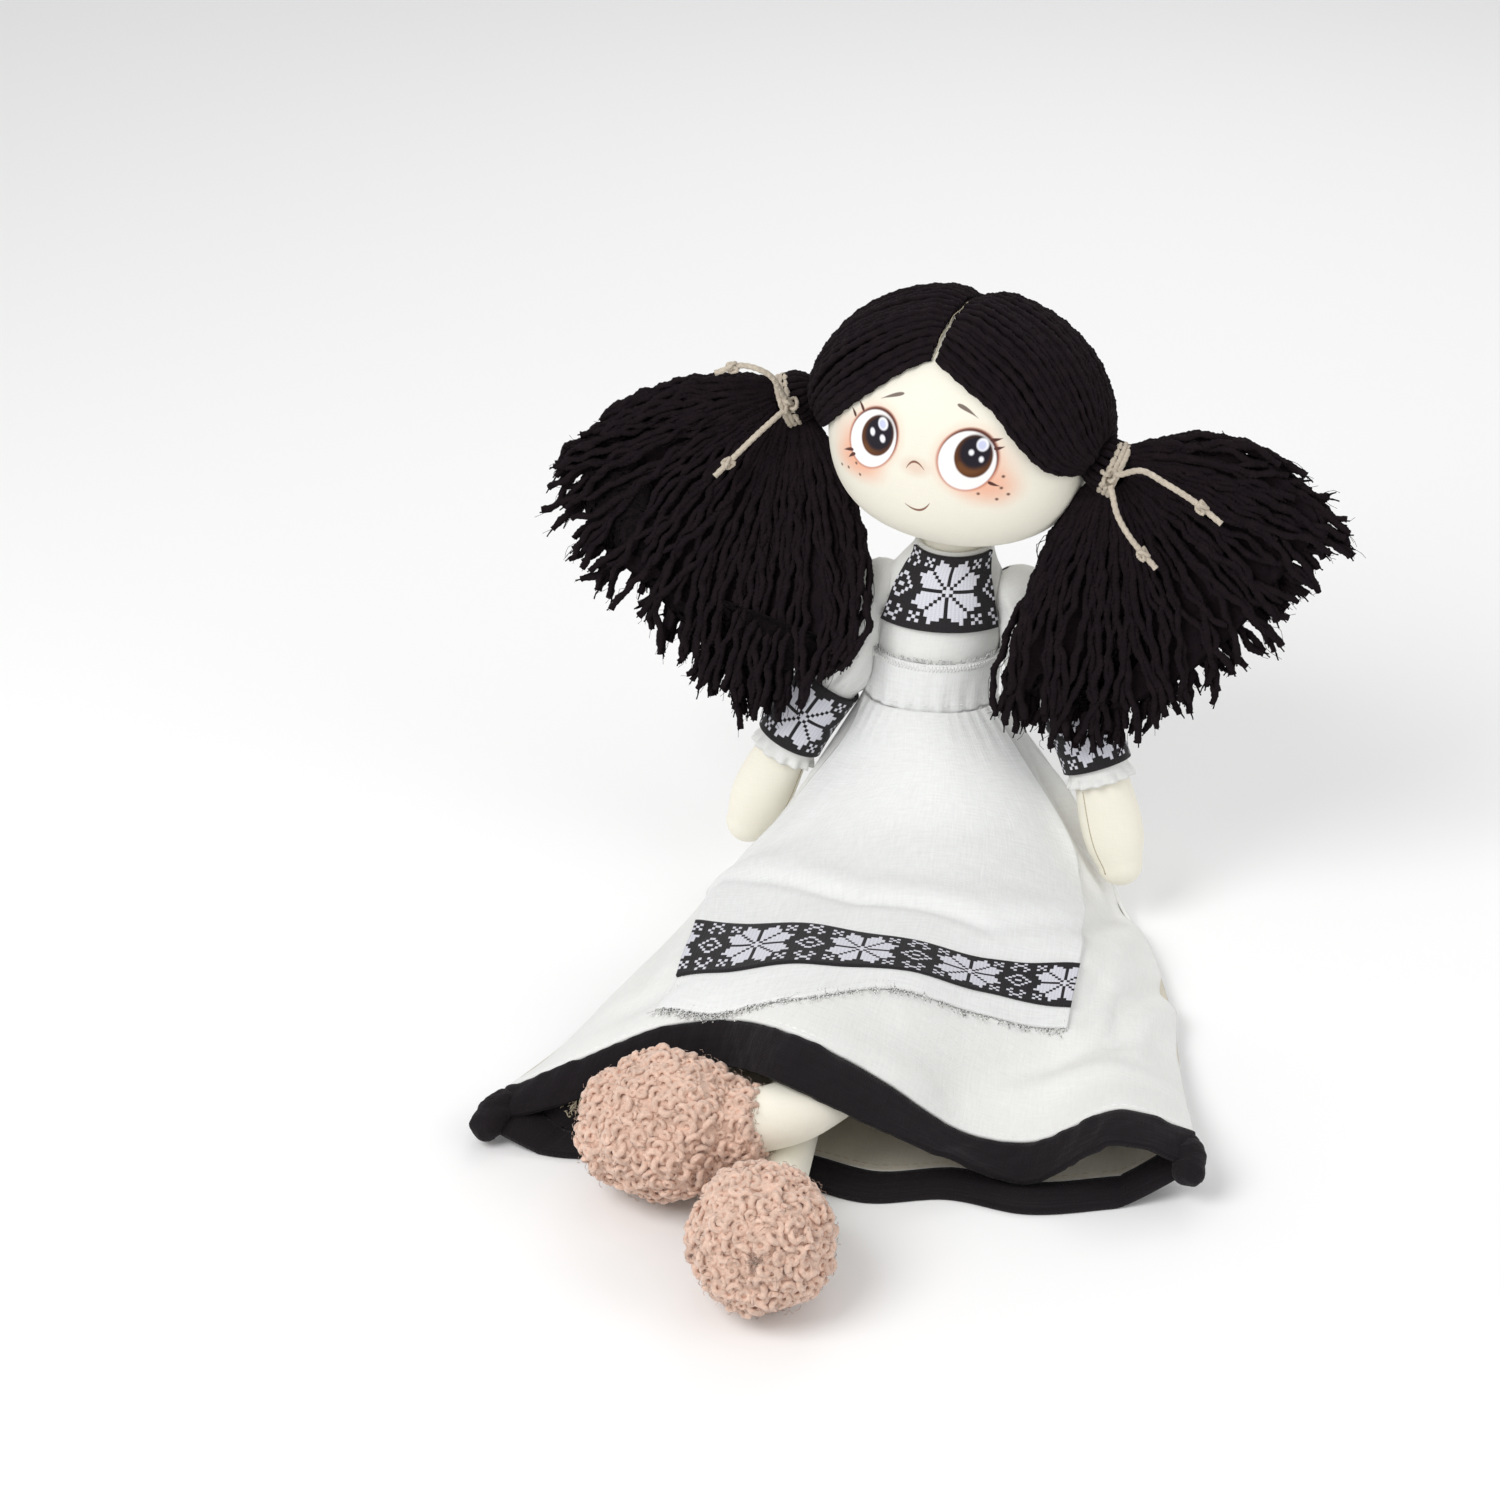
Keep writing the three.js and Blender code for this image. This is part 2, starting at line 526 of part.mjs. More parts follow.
// direction of the hair bundle as it leaves the tie
const tieAxis = (side) => V(side === 'left' ? 0.86 : -0.86, -0.1, -0.35).normalize();
const gatheredShare = 0.8;         // share of a lock that lies on the head before its bundle
function hairCap(side) {
  const axis = tieAxis(side);
  const up = V(0, 0, 1).addScaledVector(axis, -axis.z).normalize();
  const over = up.clone().cross(axis).multiplyScalar(side === 'left' ? -1 : 1);
  const bundle = (u, radius) => {
    const spread = rad(mix(-150, 150, u));
    return vec(tie[side]).addScaledVector(axis, -0.375 * tieNeck)
      .addScaledVector(up, radius * Math.cos(spread))
      .addScaledVector(over, radius * Math.sin(spread));
  };
  const layerAt = (u, v, out, radius) => {
    const share = Math.min(1, v / gatheredShare);
    const onHead = headPoint(lock(side, u, share * 0.93), out);
    return onHead.lerp(bundle(u, radius), ease((v - gatheredShare) / (1 - gatheredShare)));
  };
  const inner = (u, v) => layerAt(u, v, hairThick.map(() => 3 * gap), tieNeck * 0.35);
  const outer = (u, v) => {
    const edge = Math.min(1, 0.35 + 4 * Math.min(u, 1 - u)) * Math.min(1, 0.45 + 5 * v);
    return layerAt(u, v, hairThick.map((h) => gap + h * edge), tieNeck);
  };
  const locks = 16;
  const along = 10;
  const points = [];
  for (const layer of [inner, outer]) {
    for (let j = 0; j <= along; j += 1) {
      for (let i = 0; i <= locks; i += 1) points.push(layer(i / locks, j / along));
    }
  }
  const w = locks + 1;
  const half = w * (along + 1);
  const faces = [];
  const quad = (a, b, c, d) => faces.push([a, b, c], [a, c, d]);
  for (let j = 0; j < along; j += 1) {
    for (let i = 0; i < locks; i += 1) {
      const a = j * w + i;
      quad(a, a + 1, a + w + 1, a + w);
      quad(half + a, half + a + w, half + a + w + 1, half + a + 1);
    }
    const a = j * w;
    const b = a + locks;
    quad(a, a + w, half + a + w, half + a);
    quad(b, half + b, half + b + w, b + w);
  }
  for (let i = 0; i < locks; i += 1) {
    const b = along * w + i;
    quad(i, half + i, half + i + 1, i + 1);
    quad(b, b + 1, half + b + 1, half + b);
  }
  return closed(points, faces);
}
for (const side of sides) {
  place('head', `hair_cap_${side}`, cut(hairCap(side), ...tieRoom), colours.hair);
}

// Pigtails and their ties
// tips of the fan from the innermost lock to the topmost one, and a point that the innermost
// lock passes, from the tie in shares of the fan's length
const fanLength = 100;
const fanShares = {
  left: { inner: [-0.245, -0.12, -0.42], tips: [
    [-0.315, -0.2, -0.88], [-0.165, -0.18, -0.97], [0.055, -0.17, -0.99],
    [0.315, -0.14, -0.85], [0.565, -0.1, -0.59], [0.715, -0.06, -0.36],
    [0.815, -0.02, -0.18], [0.555, 0, 0.07]] },
  right: { inner: [0.295, -0.26, -0.46], tips: [
    [0.225, -0.45, -0.8], [0.075, -0.44, -0.98], [-0.075, -0.43, -1.07],
    [-0.265, -0.39, -0.97], [-0.535, -0.33, -0.75], [-0.785, -0.26, -0.56],
    [-0.815, -0.19, -0.25], [-0.595, -0.12, -0.05]] },
};
const fanDepth = 13;
function fan(side) {
  const from = vec(tie[side]);
  const outTo = (share) => vec(share).multiplyScalar(fanLength).add(from);
  const tips = fanShares[side].tips.map(outTo);
  const inner = outTo(fanShares[side].inner);
  const sign = side === 'left' ? 1 : -1;
  const tipAt = (u) => V(...['x', 'y', 'z'].map((c) => through(tips.map((t) => t[c]), u)));
  const lockAt = (u, t) => {
    const spread = rad(mix(-50, 150, u));
    const root = from.clone().add(V(sign * Math.sin(spread), 0, -Math.cos(spread))
      .multiplyScalar(0.75 * tieNeck));
    const tip = tipAt(u);
    const bend = root.clone().lerp(tip, 0.5);
    bend.x += sign * fanLength * mix(0.05, 0.01, u);
    bend.z += fanLength * mix(0, 0.14, u * u);
    const innermost = Math.max(0, 1 - u / 0.3) ** 2;
    const pulled = inner.clone().multiplyScalar(2).sub(root.clone().add(tip).multiplyScalar(0.5));
    bend.lerp(pulled, innermost);
    const a = root.clone().lerp(bend, t);
    return a.lerp(bend.clone().lerp(tip, t), t);
  };
  const lobes = 15;
  const rings = [];
  const stations = [0, 0.06, 0.16, 0.3, 0.46, 0.62, 0.78, 0.9, 1];
  for (const t of stations) {
    const thick = mix(tieNeck * 1.4, fanDepth, ease(t * 2.2)) * (t > 0.8 ? mix(1, 0.55, (t - 0.8) / 0.2) : 1);
    const ring = [];
    for (let i = 0; i < 2 * lobes; i += 1) {
      const front = i < lobes;
      const u = front ? (i + 0.5) / lobes : (2 * lobes - i - 0.5) / lobes;
      const ragged = t === 1 ? 1 - 0.07 * ((i * 7) % 3) / 2 : t;
      const p = lockAt(u, ragged);
      const edge = Math.sqrt(Math.max(0, 1 - (2 * u - 1) ** 4));
      const bump = 1 + 0.08 * Math.cos(Math.PI * i);
      p.y += (front ? -1 : 1) * thick * 0.5 * (0.2 + 0.8 * edge) * bump;
      ring.push(p);
    }
    rings.push(ring);
  }
  return skin(rings);
}
const knotRadius = 3;
const knotShares = { left: [0.06, -1.208, 0.115], right: [0, -1.208, 0.23] };  // of wrapRadius
const knotPlace = (side) => knotShares[side].map((share, i) => tie[side][i] + share * wrapRadius);
const knots = { left: knotPlace('left'), right: knotPlace('right') };
// the loose ends of each tie, from the knot outwards
const tails = {
  left: [
    [[68, -29, 178], [76, -31, 175], [86, -33, 170], [95, -35, 164]],
    [[61, -30, 162], [66, -32.5, 155], [75, -35, 146]],
  ],
  right: [
    [[-60, -2, 191], [-69, -3, 194], [-78, -4, 191]],
    [[-64, -4, 169], [-71, -7.5, 162], [-77, -11, 156]],
  ],
};
function cordTube(points) {
  const curve = new THREE.CatmullRomCurve3(points.map(vec), false, 'centripetal');
  const section = new THREE.Shape();
  const faces = 8;
  for (let k = 0; k < faces; k += 1) {
    const q = (2 * Math.PI * k) / faces;
    const [x, y] = [Math.cos(q) * twine / 2, Math.sin(q) * twine / 2];
    if (k === 0) section.moveTo(x, y);
    else section.lineTo(x, y);
  }
  section.closePath();
  const steps = Math.max(4, Math.round(curve.getLength() / (2.5 * twine)));
  return new THREE.ExtrudeGeometry(section, { steps, extrudePath: curve, bevelEnabled: false });
}
for (const side of sides) {
  const sign = side === 'left' ? 1 : -1;
  const body = `pigtail_${side}`;
  const centre = vec(tie[side]);
  const axis = tieAxis(side);
  const seat = centre.clone().addScaledVector(axis, 0.45 * twine);
  const ring = (radius, tube, width) => {
    const up = V(0, 0, 1).addScaledVector(axis, -axis.z).normalize();
    const over = axis.clone().cross(up);
    const loops = [];
    for (let k = 0; k < 14; k += 1) {
      const q = (2 * Math.PI * k) / 14;
      const out = up.clone().multiplyScalar(Math.cos(q)).addScaledVector(over, Math.sin(q));
      loops.push(Array.from({ length: 6 }, (_, j) => {
        const w = (2 * Math.PI * j) / 6;
        return seat.clone().addScaledVector(out, radius + tube * Math.cos(w))
          .addScaledVector(axis, width * Math.sin(w));
      }));
    }
    return skin(loops, true);
  };
  const wrap = ring(wrapRadius, twine / 2, twine);
  const knotAt = knots[side];
  const root = toSolid(fan(side)).add(ball(tie[side], rootBall, 20));
  place(body, `pigtail_${side}`, fromSolid(root
    .subtract(toSolid(ring(wrapRadius, twine / 2 + 2 * gap, twine + 2 * gap)))
    .subtract(ball(knotAt, knotRadius + gap, 12))), colours.hair);
  place(body, `tie_${side}`, fromSolid(toSolid(wrap).add(ball(knotAt, knotRadius, 12))), colours.twine);
  tails[side].forEach((free, i) => {
    const heading = vec(free[0]).sub(vec(knotAt)).normalize();
    const start = vec(knotAt).addScaledVector(heading, knotRadius + gap / 15);
    const points = [start.toArray(), start.clone().addScaledVector(heading, twine).toArray(), ...free];
    place(body, `tie_tail_${side}_${'ab'[i]}`, cordTube(points), colours.twine);
  });
}

// Arms
const armLength = 100;
const armRadius = 8.6;
// bends of each arm from its shoulder, in shares of its length
const armPathShares = {
  left: [[0, 0, 0], [0.14, -0.05, -0.25], [0.285, -0.13, -0.49], [0.425, -0.26, -0.91]],
  right: [[0, 0, 0], [-0.11, -0.03, -0.25], [-0.275, -0.075, -0.52], [-0.49, -0.15, -1.017]],
};
const armPaths = {};
for (const side of sides) {
  armPaths[side] = armPathShares[side].map((share) => (
    share.map((value, i) => shoulder[side][i] + value * armLength)));
}
// distance down the arm, half width and half depth in shares of armLength and armRadius
const armRowShares = [
  [0, 1, 1], [0.25, 1, 0.977], [0.5, 1.023, 0.977],
  [0.68, 1.093, 0.953], [0.84, 1.256, 0.953], [0.99, 1.209, 0.907]];
const armRows = armRowShares.map(([s, a, b]) => [s * armLength, a * armRadius, b * armRadius]);
const handRise = 9;
const cuffStart = 36;              // distance of the ribbon's upper edge from the shoulder
const cuffEnd = cuffStart + ribbonWidth;
const cuffRadius = 10.6;           // cloth of the wrist under the ribbon
// upper sleeve: distance in shares of cuffStart, radius in shares of sleeveDome
const puffShares = [[0, 1], [0.222, 1.067], [0.5, 1.167], [0.75, 1.117], [0.917, 0.967]];
const sleeveRows = [
  ...puffShares.map(([s, r]) => [s * cuffStart, r * sleeveDome]), [cuffStart, cuffRadius],
  [(cuffStart + cuffEnd) / 2, cuffRadius], [cuffEnd, cuffRadius + gap / 3],
  [cuffEnd + handRise / 2, cuffRadius + trim],
];
function tube(path, rows, out, side, thick) {
  const curve = new THREE.CatmullRomCurve3(path.map(vec), false, 'centripetal');
  const length = curve.getLength();
  const ringOf = (s, r, flat) => {
    const t = clamp01(s / length);
    const tangent = curve.getTangentAt(t);
    const p = curve.getPointAt(t).addScaledVector(tangent, Math.min(0, s));
    const acrossArm = side.clone().addScaledVector(tangent, -side.dot(tangent)).normalize();
    const up = tangent.clone().cross(acrossArm);
    return Array.from({ length: 12 }, (_, k) => {
      const q = (2 * Math.PI * k) / 12;
      return p.clone().addScaledVector(acrossArm, r * Math.cos(q))
        .addScaledVector(up, r * flat * Math.sin(q));
    });
  };
  const flatAt = (s) => mix(1, 0.93, ease((s - 0.55 * cuffStart) / (0.85 * cuffStart)));
  const outer = rows.map(([s, r]) => ringOf(s, r + out, flatAt(s)));
  const inner = rows.map(([s, r]) => ringOf(s, r + out - thick, flatAt(s))).reverse();
  return skin([...outer, ...inner], true);
}
const sleeveThick = 1.0;
const chestKeep = sheet(chestAt, 12, 7, -2 * gap, trim + gap, [-0.02, 1.02, -0.02, 1.02]);
for (const side of sides) {
  const body = `arm_${side}`;
  const path = armPaths[side];
  const width = V(1, 0, 0.35 * (side === 'left' ? 1 : -1)).normalize();
  const dressKeep = toSolid(skin(bodySolid(gap + cloth + gap, waistHeight - 2 * cloth, bodiceTop)))
    .subtract(ball(shoulder[side], sleeveDome + 0.3 * gap, 20));
  const bandKeep = toSolid(skin(bodySolid(3 * gap + cloth + trim, bandBottom - gap, bandTop + gap)));
  const arm = limb(path.map(vec), armRows, width, 0, [0, handRise], 14);
  place(body, `arm_${side}`, cut(arm, dressKeep, bandKeep),
    colours.skin);
  const dome = [0.98, 0.85, 0.5].map((share) => (
    [-sleeveDome * share, sleeveDome * Math.sqrt(1 - share ** 2)]));
  place(body, `sleeve_${side}`, cut(
    tube(path, [...dome, ...sleeveRows], 0, width, sleeveThick), dressKeep, bandKeep, chestKeep),
  colours.linen);
  place(body, `cuff_ribbon_${side}`, tube(path,
    sleeveRows.filter(([s]) => s >= cuffStart && s <= cuffEnd),
    gap + trim, width, trim), colours.ribbon);
}

// Legs
const shinRadius = { left: 10.2, right: 9.4 };
const bootie = { length: 45, rim: 13.6, toe: { left: 24.8, right: 22.6 } };
const footSwell = 4;
function legShape(side, grow) {
  const curve = legCurve(side);
  const end = curve.getLength();
  const r = shinRadius[side];
  const thigh = [[0, 0], [0.15, 0.018]].map(([s, less]) => [s * legLength, hipRadius * (1 - less)]);
  const fromEnd = [[1.38, 0], [1.02, 0], [0.76, -0.05], [0.53, 0.1], [0.31, 0.65], [0.09, 1], [-0.09, 0.75]];
  const shin = fromEnd.map(([s, more]) => [end - s * bootie.length, r + more * footSwell]);
  const rows = [...thigh, [0.35 * legLength, 1.03 * r], ...shin].map(([s, radius]) => [s, radius, radius]);
  return limb(curve.points, rows, V(0, 0, 1), grow, [hipRadius, 0.9 * r], 14);
}
// bootie from its rolled edge to the toe, in shares of its length: distance, and how far it has
// grown from the rim to its full size
const bootieShares = [[0, 0], [0.13, 0.13], [0.29, 0.66], [0.49, 0.92], [0.69, 1], [0.87, 0.84], [1, 0.56]];
const bootieAxisShares = [-0.71, -0.44, 0, 0.31];
for (const side of sides) {
  place(`leg_${side}`, `leg_${side}`, legShape(side, 0), colours.skin);
  const curve = legCurve(side);
  const middle = curve.getPointAt(1);
  const ankle = curve.getPointAt(1 - 0.67 * bootie.length / curve.getLength());
  const axis = middle.clone().sub(ankle).normalize();
  const path = bootieAxisShares.map((share) => (
    middle.clone().addScaledVector(axis, share * bootie.length)));
  const rows = bootieShares.map(([s, grown]) => {
    const radius = mix(bootie.rim, bootie.toe[side], grown);
    return [s * bootie.length, radius, radius];
  });
  const shell = limb(path, rows, V(0, 0, 1), 0, [bootie.rim / 7, bootie.rim * 0.74], 16);
  // the upper bootie rests on the other shin
  place(`leg_${side}`, `bootie_${side}`, cut(shell, ...sides.map((s) => legShape(s, gap))), colours.yarn);
}

export default doll;
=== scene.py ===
"""Dressed rag doll, seated with its ankles crossed: hair of thick yarn, linen dress and apron,
woven star ribbon, black hem binding and curly knitted booties.

Every piece is built in the packed model's frame. The surfaces that cloth and yarn follow are
written in millimetres, as the part's own drawing is, and turned to metres when a mesh is made.
"""

import math

import bpy
import numpy as np
from bpy.props import FloatProperty, FloatVectorProperty, IntProperty, PointerProperty
from mathutils import Matrix, Vector


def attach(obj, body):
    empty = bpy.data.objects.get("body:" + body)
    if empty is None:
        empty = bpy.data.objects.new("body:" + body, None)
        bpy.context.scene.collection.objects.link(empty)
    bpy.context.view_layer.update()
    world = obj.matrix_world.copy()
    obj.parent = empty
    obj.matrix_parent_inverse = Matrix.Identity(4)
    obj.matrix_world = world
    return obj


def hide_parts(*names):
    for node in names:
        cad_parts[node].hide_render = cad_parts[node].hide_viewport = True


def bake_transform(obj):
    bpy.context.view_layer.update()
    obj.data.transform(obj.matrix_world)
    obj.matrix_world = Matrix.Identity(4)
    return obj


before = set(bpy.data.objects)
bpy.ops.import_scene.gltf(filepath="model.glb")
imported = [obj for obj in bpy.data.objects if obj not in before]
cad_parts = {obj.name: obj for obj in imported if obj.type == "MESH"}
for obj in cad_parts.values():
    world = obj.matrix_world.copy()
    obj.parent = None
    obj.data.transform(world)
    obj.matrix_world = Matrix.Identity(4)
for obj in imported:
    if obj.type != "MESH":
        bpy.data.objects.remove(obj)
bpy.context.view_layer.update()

bl_info = {
    "name": "Seated rag doll",
    "version": (1, 0, 0),
    "blender": (4, 5, 0),
    "location": "3D View > Sidebar > Rag doll",
    "description": "Builds a dressed rag doll on the frame of its packed model",
    "category": "Add Mesh",
}

MM = 0.001
SIDES = ("left", "right")
SIGN = {"left": 1, "right": -1}

# Sizes shared with the part's drawing, in millimetres
GAP = 0.3
CLOTH = 1.6
TRIM = 1.2
RIBBON_WIDTH = 30
WOVEN_WIDTH = 27.4
BINDING = 2.2
BODY_HEIGHT = 141
BODY_HALF_WIDTH = 31
BODY_HALF_DEPTH = 27
HEAD_RISE = 37.5    # middle of the neck joint to the middle of the head
HEAD_CENTRE = np.array([5.1, 0, BODY_HEIGHT + HEAD_RISE])
HEAD_HALF = np.array([46, 36, 39.5])
HEAD_TURN = math.radians(-16.5)
JAW, CROWN = 2.8, 2.15
HAIR_THICK = np.array([7.6, 7, 5.4])
NECK = np.array([5, 1, BODY_HEIGHT])
NECK_RADIUS = 11.5
SHOULDER = {"left": np.array([28, 0, 113.0]), "right": np.array([-21, 0, 111.0])}
SLEEVE_DOME = 12
HIP = {"left": np.array([18, -14, 15.5]), "right": np.array([-17, -14, 15.5])}
HIP_RADIUS = 11.3
TIE_SHARES = {"left": [1.117, -0.389, -0.165], "right": [-1.274, 0.389, -0.063]}
TIE = {side: HEAD_CENTRE + HEAD_HALF * TIE_SHARES[side] for side in SIDES}
TWINE = 2.2
TIE_NECK = 8
WRAP_RADIUS = TIE_NECK + 2.3 * GAP
ROOT_BALL = WRAP_RADIUS + TWINE / 2
WAIST = 77
BODICE_TOP = 134.2
BAND_BOTTOM = WAIST + CLOTH / 2
BAND_TOP = 96

BODY_SHARES = np.array([
    [0.021, 0.613, 0.556, 0, 0.111], [0.05, 0.871, 0.852, 0, 0.222], [0.142, 1, 1, 0, 0.222],
    [0.284, 0.839, 0.833, 0.016, 0.111], [0.426, 0.694, 0.685, 0, 0.037],
    [0.553, 0.645, 0.63, -0.048, -0.074], [0.674, 0.661, 0.593, -0.016, -0.111],
    [0.78, 0.694, 0.556, 0.048, -0.074], [0.844, 0.629, 0.481, 0.065, -0.037],
    [0.894, 0.484, 0.426, 0.097, 0], [0.936, 0.381, 0.419, 0.145, 0.037],
    [1, 0.371, 0.426, 0.161, 0.037]])
BODY_SECTIONS = BODY_SHARES * np.array([
    BODY_HEIGHT, BODY_HALF_WIDTH, BODY_HALF_DEPTH, BODY_HALF_WIDTH, BODY_HALF_DEPTH])

FRONT_ANGLE = math.radians(-88)
CHEST = {"low": 108.0, "high": 133.5, "low_half": 55, "high_half": 63}


# Small sums
def mix(a, b, t):
    return a + (b - a) * t


def level(*values):
    """The values as flat arrays of one length."""
    return [w.ravel() for w in np.broadcast_arrays(*(np.asarray(v, float) for v in values))]


def ease(t):
    t = np.clip(t, 0, 1)
    return t * t * (3 - 2 * t)


def unit(v):
    v = np.asarray(v, float)
    return v / np.maximum(np.linalg.norm(v, axis=-1, keepdims=True), 1e-12)


def spline_weights(count, t):
    """Weights of evenly spaced samples for a smooth curve through them at each t from 0 to 1."""
    t = np.atleast_1d(np.asarray(t, float))
    last = count - 1
    x = np.clip(t, 0, 1) * last
    i = np.minimum(last - 1, np.floor(x)).astype(int)
    f = x - i
    h00, h10 = 2 * f**3 - 3 * f**2 + 1, f**3 - 2 * f**2 + f
    h01, h11 = -2 * f**3 + 3 * f**2, f**3 - f**2
    weights = np.zeros((len(t), count))
    rows = np.arange(len(t))
    for offset, part in ((-1, -h10 / 2), (0, h00 - h11 / 2), (1, h01 + h10 / 2), (2, h11 / 2)):
        np.add.at(weights, (rows, np.clip(i + offset, 0, last)), part)
    return weights


def through(samples, t):
    samples = np.asarray(samples, float)
    found = spline_weights(len(samples), t) @ samples.reshape(len(samples), -1)
    return found[:, 0] if samples.ndim == 1 else found


def table_at(table, x):
    """Rows of a table whose first column rises, interpolated smoothly at each x."""
    table = np.asarray(table, float)
    x = np.atleast_1d(np.asarray(x, float))
    last = len(table) - 1
    i = np.clip(np.searchsorted(table[:, 0], x, side="left") - 1, 0, last - 1)
    span = table[i + 1, 0] - table[i, 0]
    f = np.clip((x - table[i, 0]) / span, 0, 1)[:, None]
    before, after = np.maximum(0, i - 1), np.minimum(last, i + 2)
    rise1 = (table[i + 1, 1:] - table[before, 1:]) / (table[i + 1, 0] - table[before, 0])[:, None]
    rise2 = (table[after, 1:] - table[i, 1:]) / (table[after, 0] - table[i, 0])[:, None]
    m1, m2 = rise1 * span[:, None], rise2 * span[:, None]
    return ((2 * f**3 - 3 * f**2 + 1) * table[i, 1:] + (f**3 - 2 * f**2 + f) * m1
            + (-2 * f**3 + 3 * f**2) * table[i + 1, 1:] + (f**3 - f**2) * m2)


class Path:
    """Smooth line through points, measured along its length."""

    def __init__(self, points, fine=48):
        p = np.asarray(points, float)
        p = np.vstack([2 * p[0] - p[1], p, 2 * p[-1] - p[-2]])
        line = []
        for k in range(1, len(p) - 2):
            d0, d1, d2 = (max(np.linalg.norm(p[k + j] - p[k + j - 1]) ** 0.5, 1e-4) for j in (0, 1, 2))
            t1 = (p[k] - p[k-1]) / d0 - (p[k+1] - p[k-1]) / (d0 + d1) + (p[k+1] - p[k]) / d1
            t2 = (p[k+1] - p[k]) / d1 - (p[k+2] - p[k]) / (d1 + d2) + (p[k+2] - p[k+1]) / d2
            t1, t2 = t1 * d1, t2 * d1
            f = np.linspace(0, 1, fine, endpoint=False)[:, None]
            line.append(p[k] + t1 * f + (-3 * p[k] + 3 * p[k+1] - 2 * t1 - t2) * f**2
                        + (2 * p[k] - 2 * p[k+1] + t1 + t2) * f**3)
        self.points = np.vstack(line + [p[-2][None]])
        steps = np.linalg.norm(np.diff(self.points, axis=0), axis=1)
        self.stations = np.concatenate([[0], np.cumsum(steps)])
        self.length = self.stations[-1]
        slopes = np.gradient(self.points, self.stations, axis=0)
        self.tangents = unit(slopes)

    def at(self, s):
        s = np.atleast_1d(np.asarray(s, float))
        inside = np.clip(s, 0, self.length)
        place = np.stack([np.interp(inside, self.stations, self.points[:, k]) for k in range(3)], -1)
        tangent = unit(np.stack(
            [np.interp(inside, self.stations, self.tangents[:, k]) for k in range(3)], -1))
        return place + tangent * (s - inside)[:, None], tangent


def ripple(p, seed, size, octaves=3):
    """Smooth seeded unevenness from -1 to 1 at points p, with bumps about that size across."""
    rng = np.random.default_rng(seed)
    p = np.asarray(p, float)
    total = np.zeros(len(p))
    weight = 0
    for octave in range(octaves):
        wave = 2 * math.pi / (size / 2**octave)
        share = 0.6**octave
        for _ in range(4):
            direction = unit(rng.normal(size=p.shape[1])) * wave * rng.uniform(0.7, 1.3)
            total += share * np.sin(p @ direction + rng.uniform(0, 2 * math.pi)) / 2
        weight += share
    return total / weight


# Outlines of the cloth, hair and limbs, in shares of the sizes that they follow
SKIRT = np.array([120, 200, 64])    # half width, length, rise
HEM_SHARE = 0.925
HEM_START = HEM_SHARE + 0.003
APRON_TOP_SHARE = 0.02
PEAK_SHARE = np.array([0, -0.66, 0.76])
NAPE_SHARE = np.array([0, 0.93, -0.42])
GATHERED_SHARE = 0.8
FAN_LENGTH = 100
FAN_DEPTH = 13
ARM_LENGTH = 100
ARM_RADIUS = 8.6
CUFF_START = 36
CUFF_END = CUFF_START + RIBBON_WIDTH
CUFF_RADIUS = 10.6
LEG_LENGTH = 200
SHIN_RADIUS = {"left": 10.2, "right": 9.4}
BOOTIE = {"length": 45, "rim": 13.6, "toe": {"left": 24.8, "right": 22.6}}
FRONT_SHARES = [
    {"seams": [[-0.329, -0.06, 0.734], [0.392, -0.035, 0.672]],
     "height": [0.828, 0.906, 0.969, 1, 1, 0.953, 0.891, 0.797],
     "reach": [-0.11, -0.15, -0.175, -0.185, -0.185, -0.17, -0.14, -0.095]},
    {"seams": [[-0.55, -0.24, 0.234], [0.592, -0.12, 0.109]],
     "height": [0.531, 0.656, 0.75, 0.797, 0.797, 0.719, 0.578, 0.344],
     "reach": [-0.25, -0.25, -0.25, -0.255, -0.255, -0.245, -0.215, -0.17]},
    {"seams": [[-0.658, -0.355, 0.141], [0.7, -0.26, 0.078]],
     "height": [0.469, 0.609, 0.672, 0.719, 0.719, 0.641, 0.516, 0.312],
     "reach": [-0.34, -0.34, -0.34, -0.345, -0.345, -0.335, -0.32, -0.29]},
    {"seams": [[-0.758, -0.51, 0.109], [0.775, -0.44, 0.078]],
     "height": [0.438, 0.578, 0.641, 0.68, 0.672, 0.594, 0.469, 0.312],
     "reach": [-0.47, -0.46, -0.455, -0.46, -0.46, -0.45, -0.44, -0.43]},
    {"seams": [[-0.875, -0.705, 0.094], [0.825, -0.665, 0.125]],
     "height": [0.391, 0.562, 0.656, 0.719, 0.664, 0.406, 0.234, 0.281],
     "reach": [-0.67, -0.66, -0.66, -0.69, -0.69, -0.675, -0.67, -0.665]},
    {"seams": [[-0.963, -0.86, 0.156], [0.863, -0.825, 0.234]],
     "height": [0.328, 0.516, 0.656, 0.82, 0.562, 0.219, 0.172, 0.406],
     "reach": [-0.83, -0.81, -0.835, -0.935, -0.91, -0.87, -0.86, -0.855]},
    {"seams": [[-1.008, -0.935, 0.102], [0.871, -0.89, 0.188]],
     "height": [0.164, 0.281, 0.453, 0.711, 0.445, 0.203, 0.086, 0.375],
     "reach": [-0.89, -0.845, -0.87, -1.01, -0.975, -0.94, -0.93, -0.93]},
]
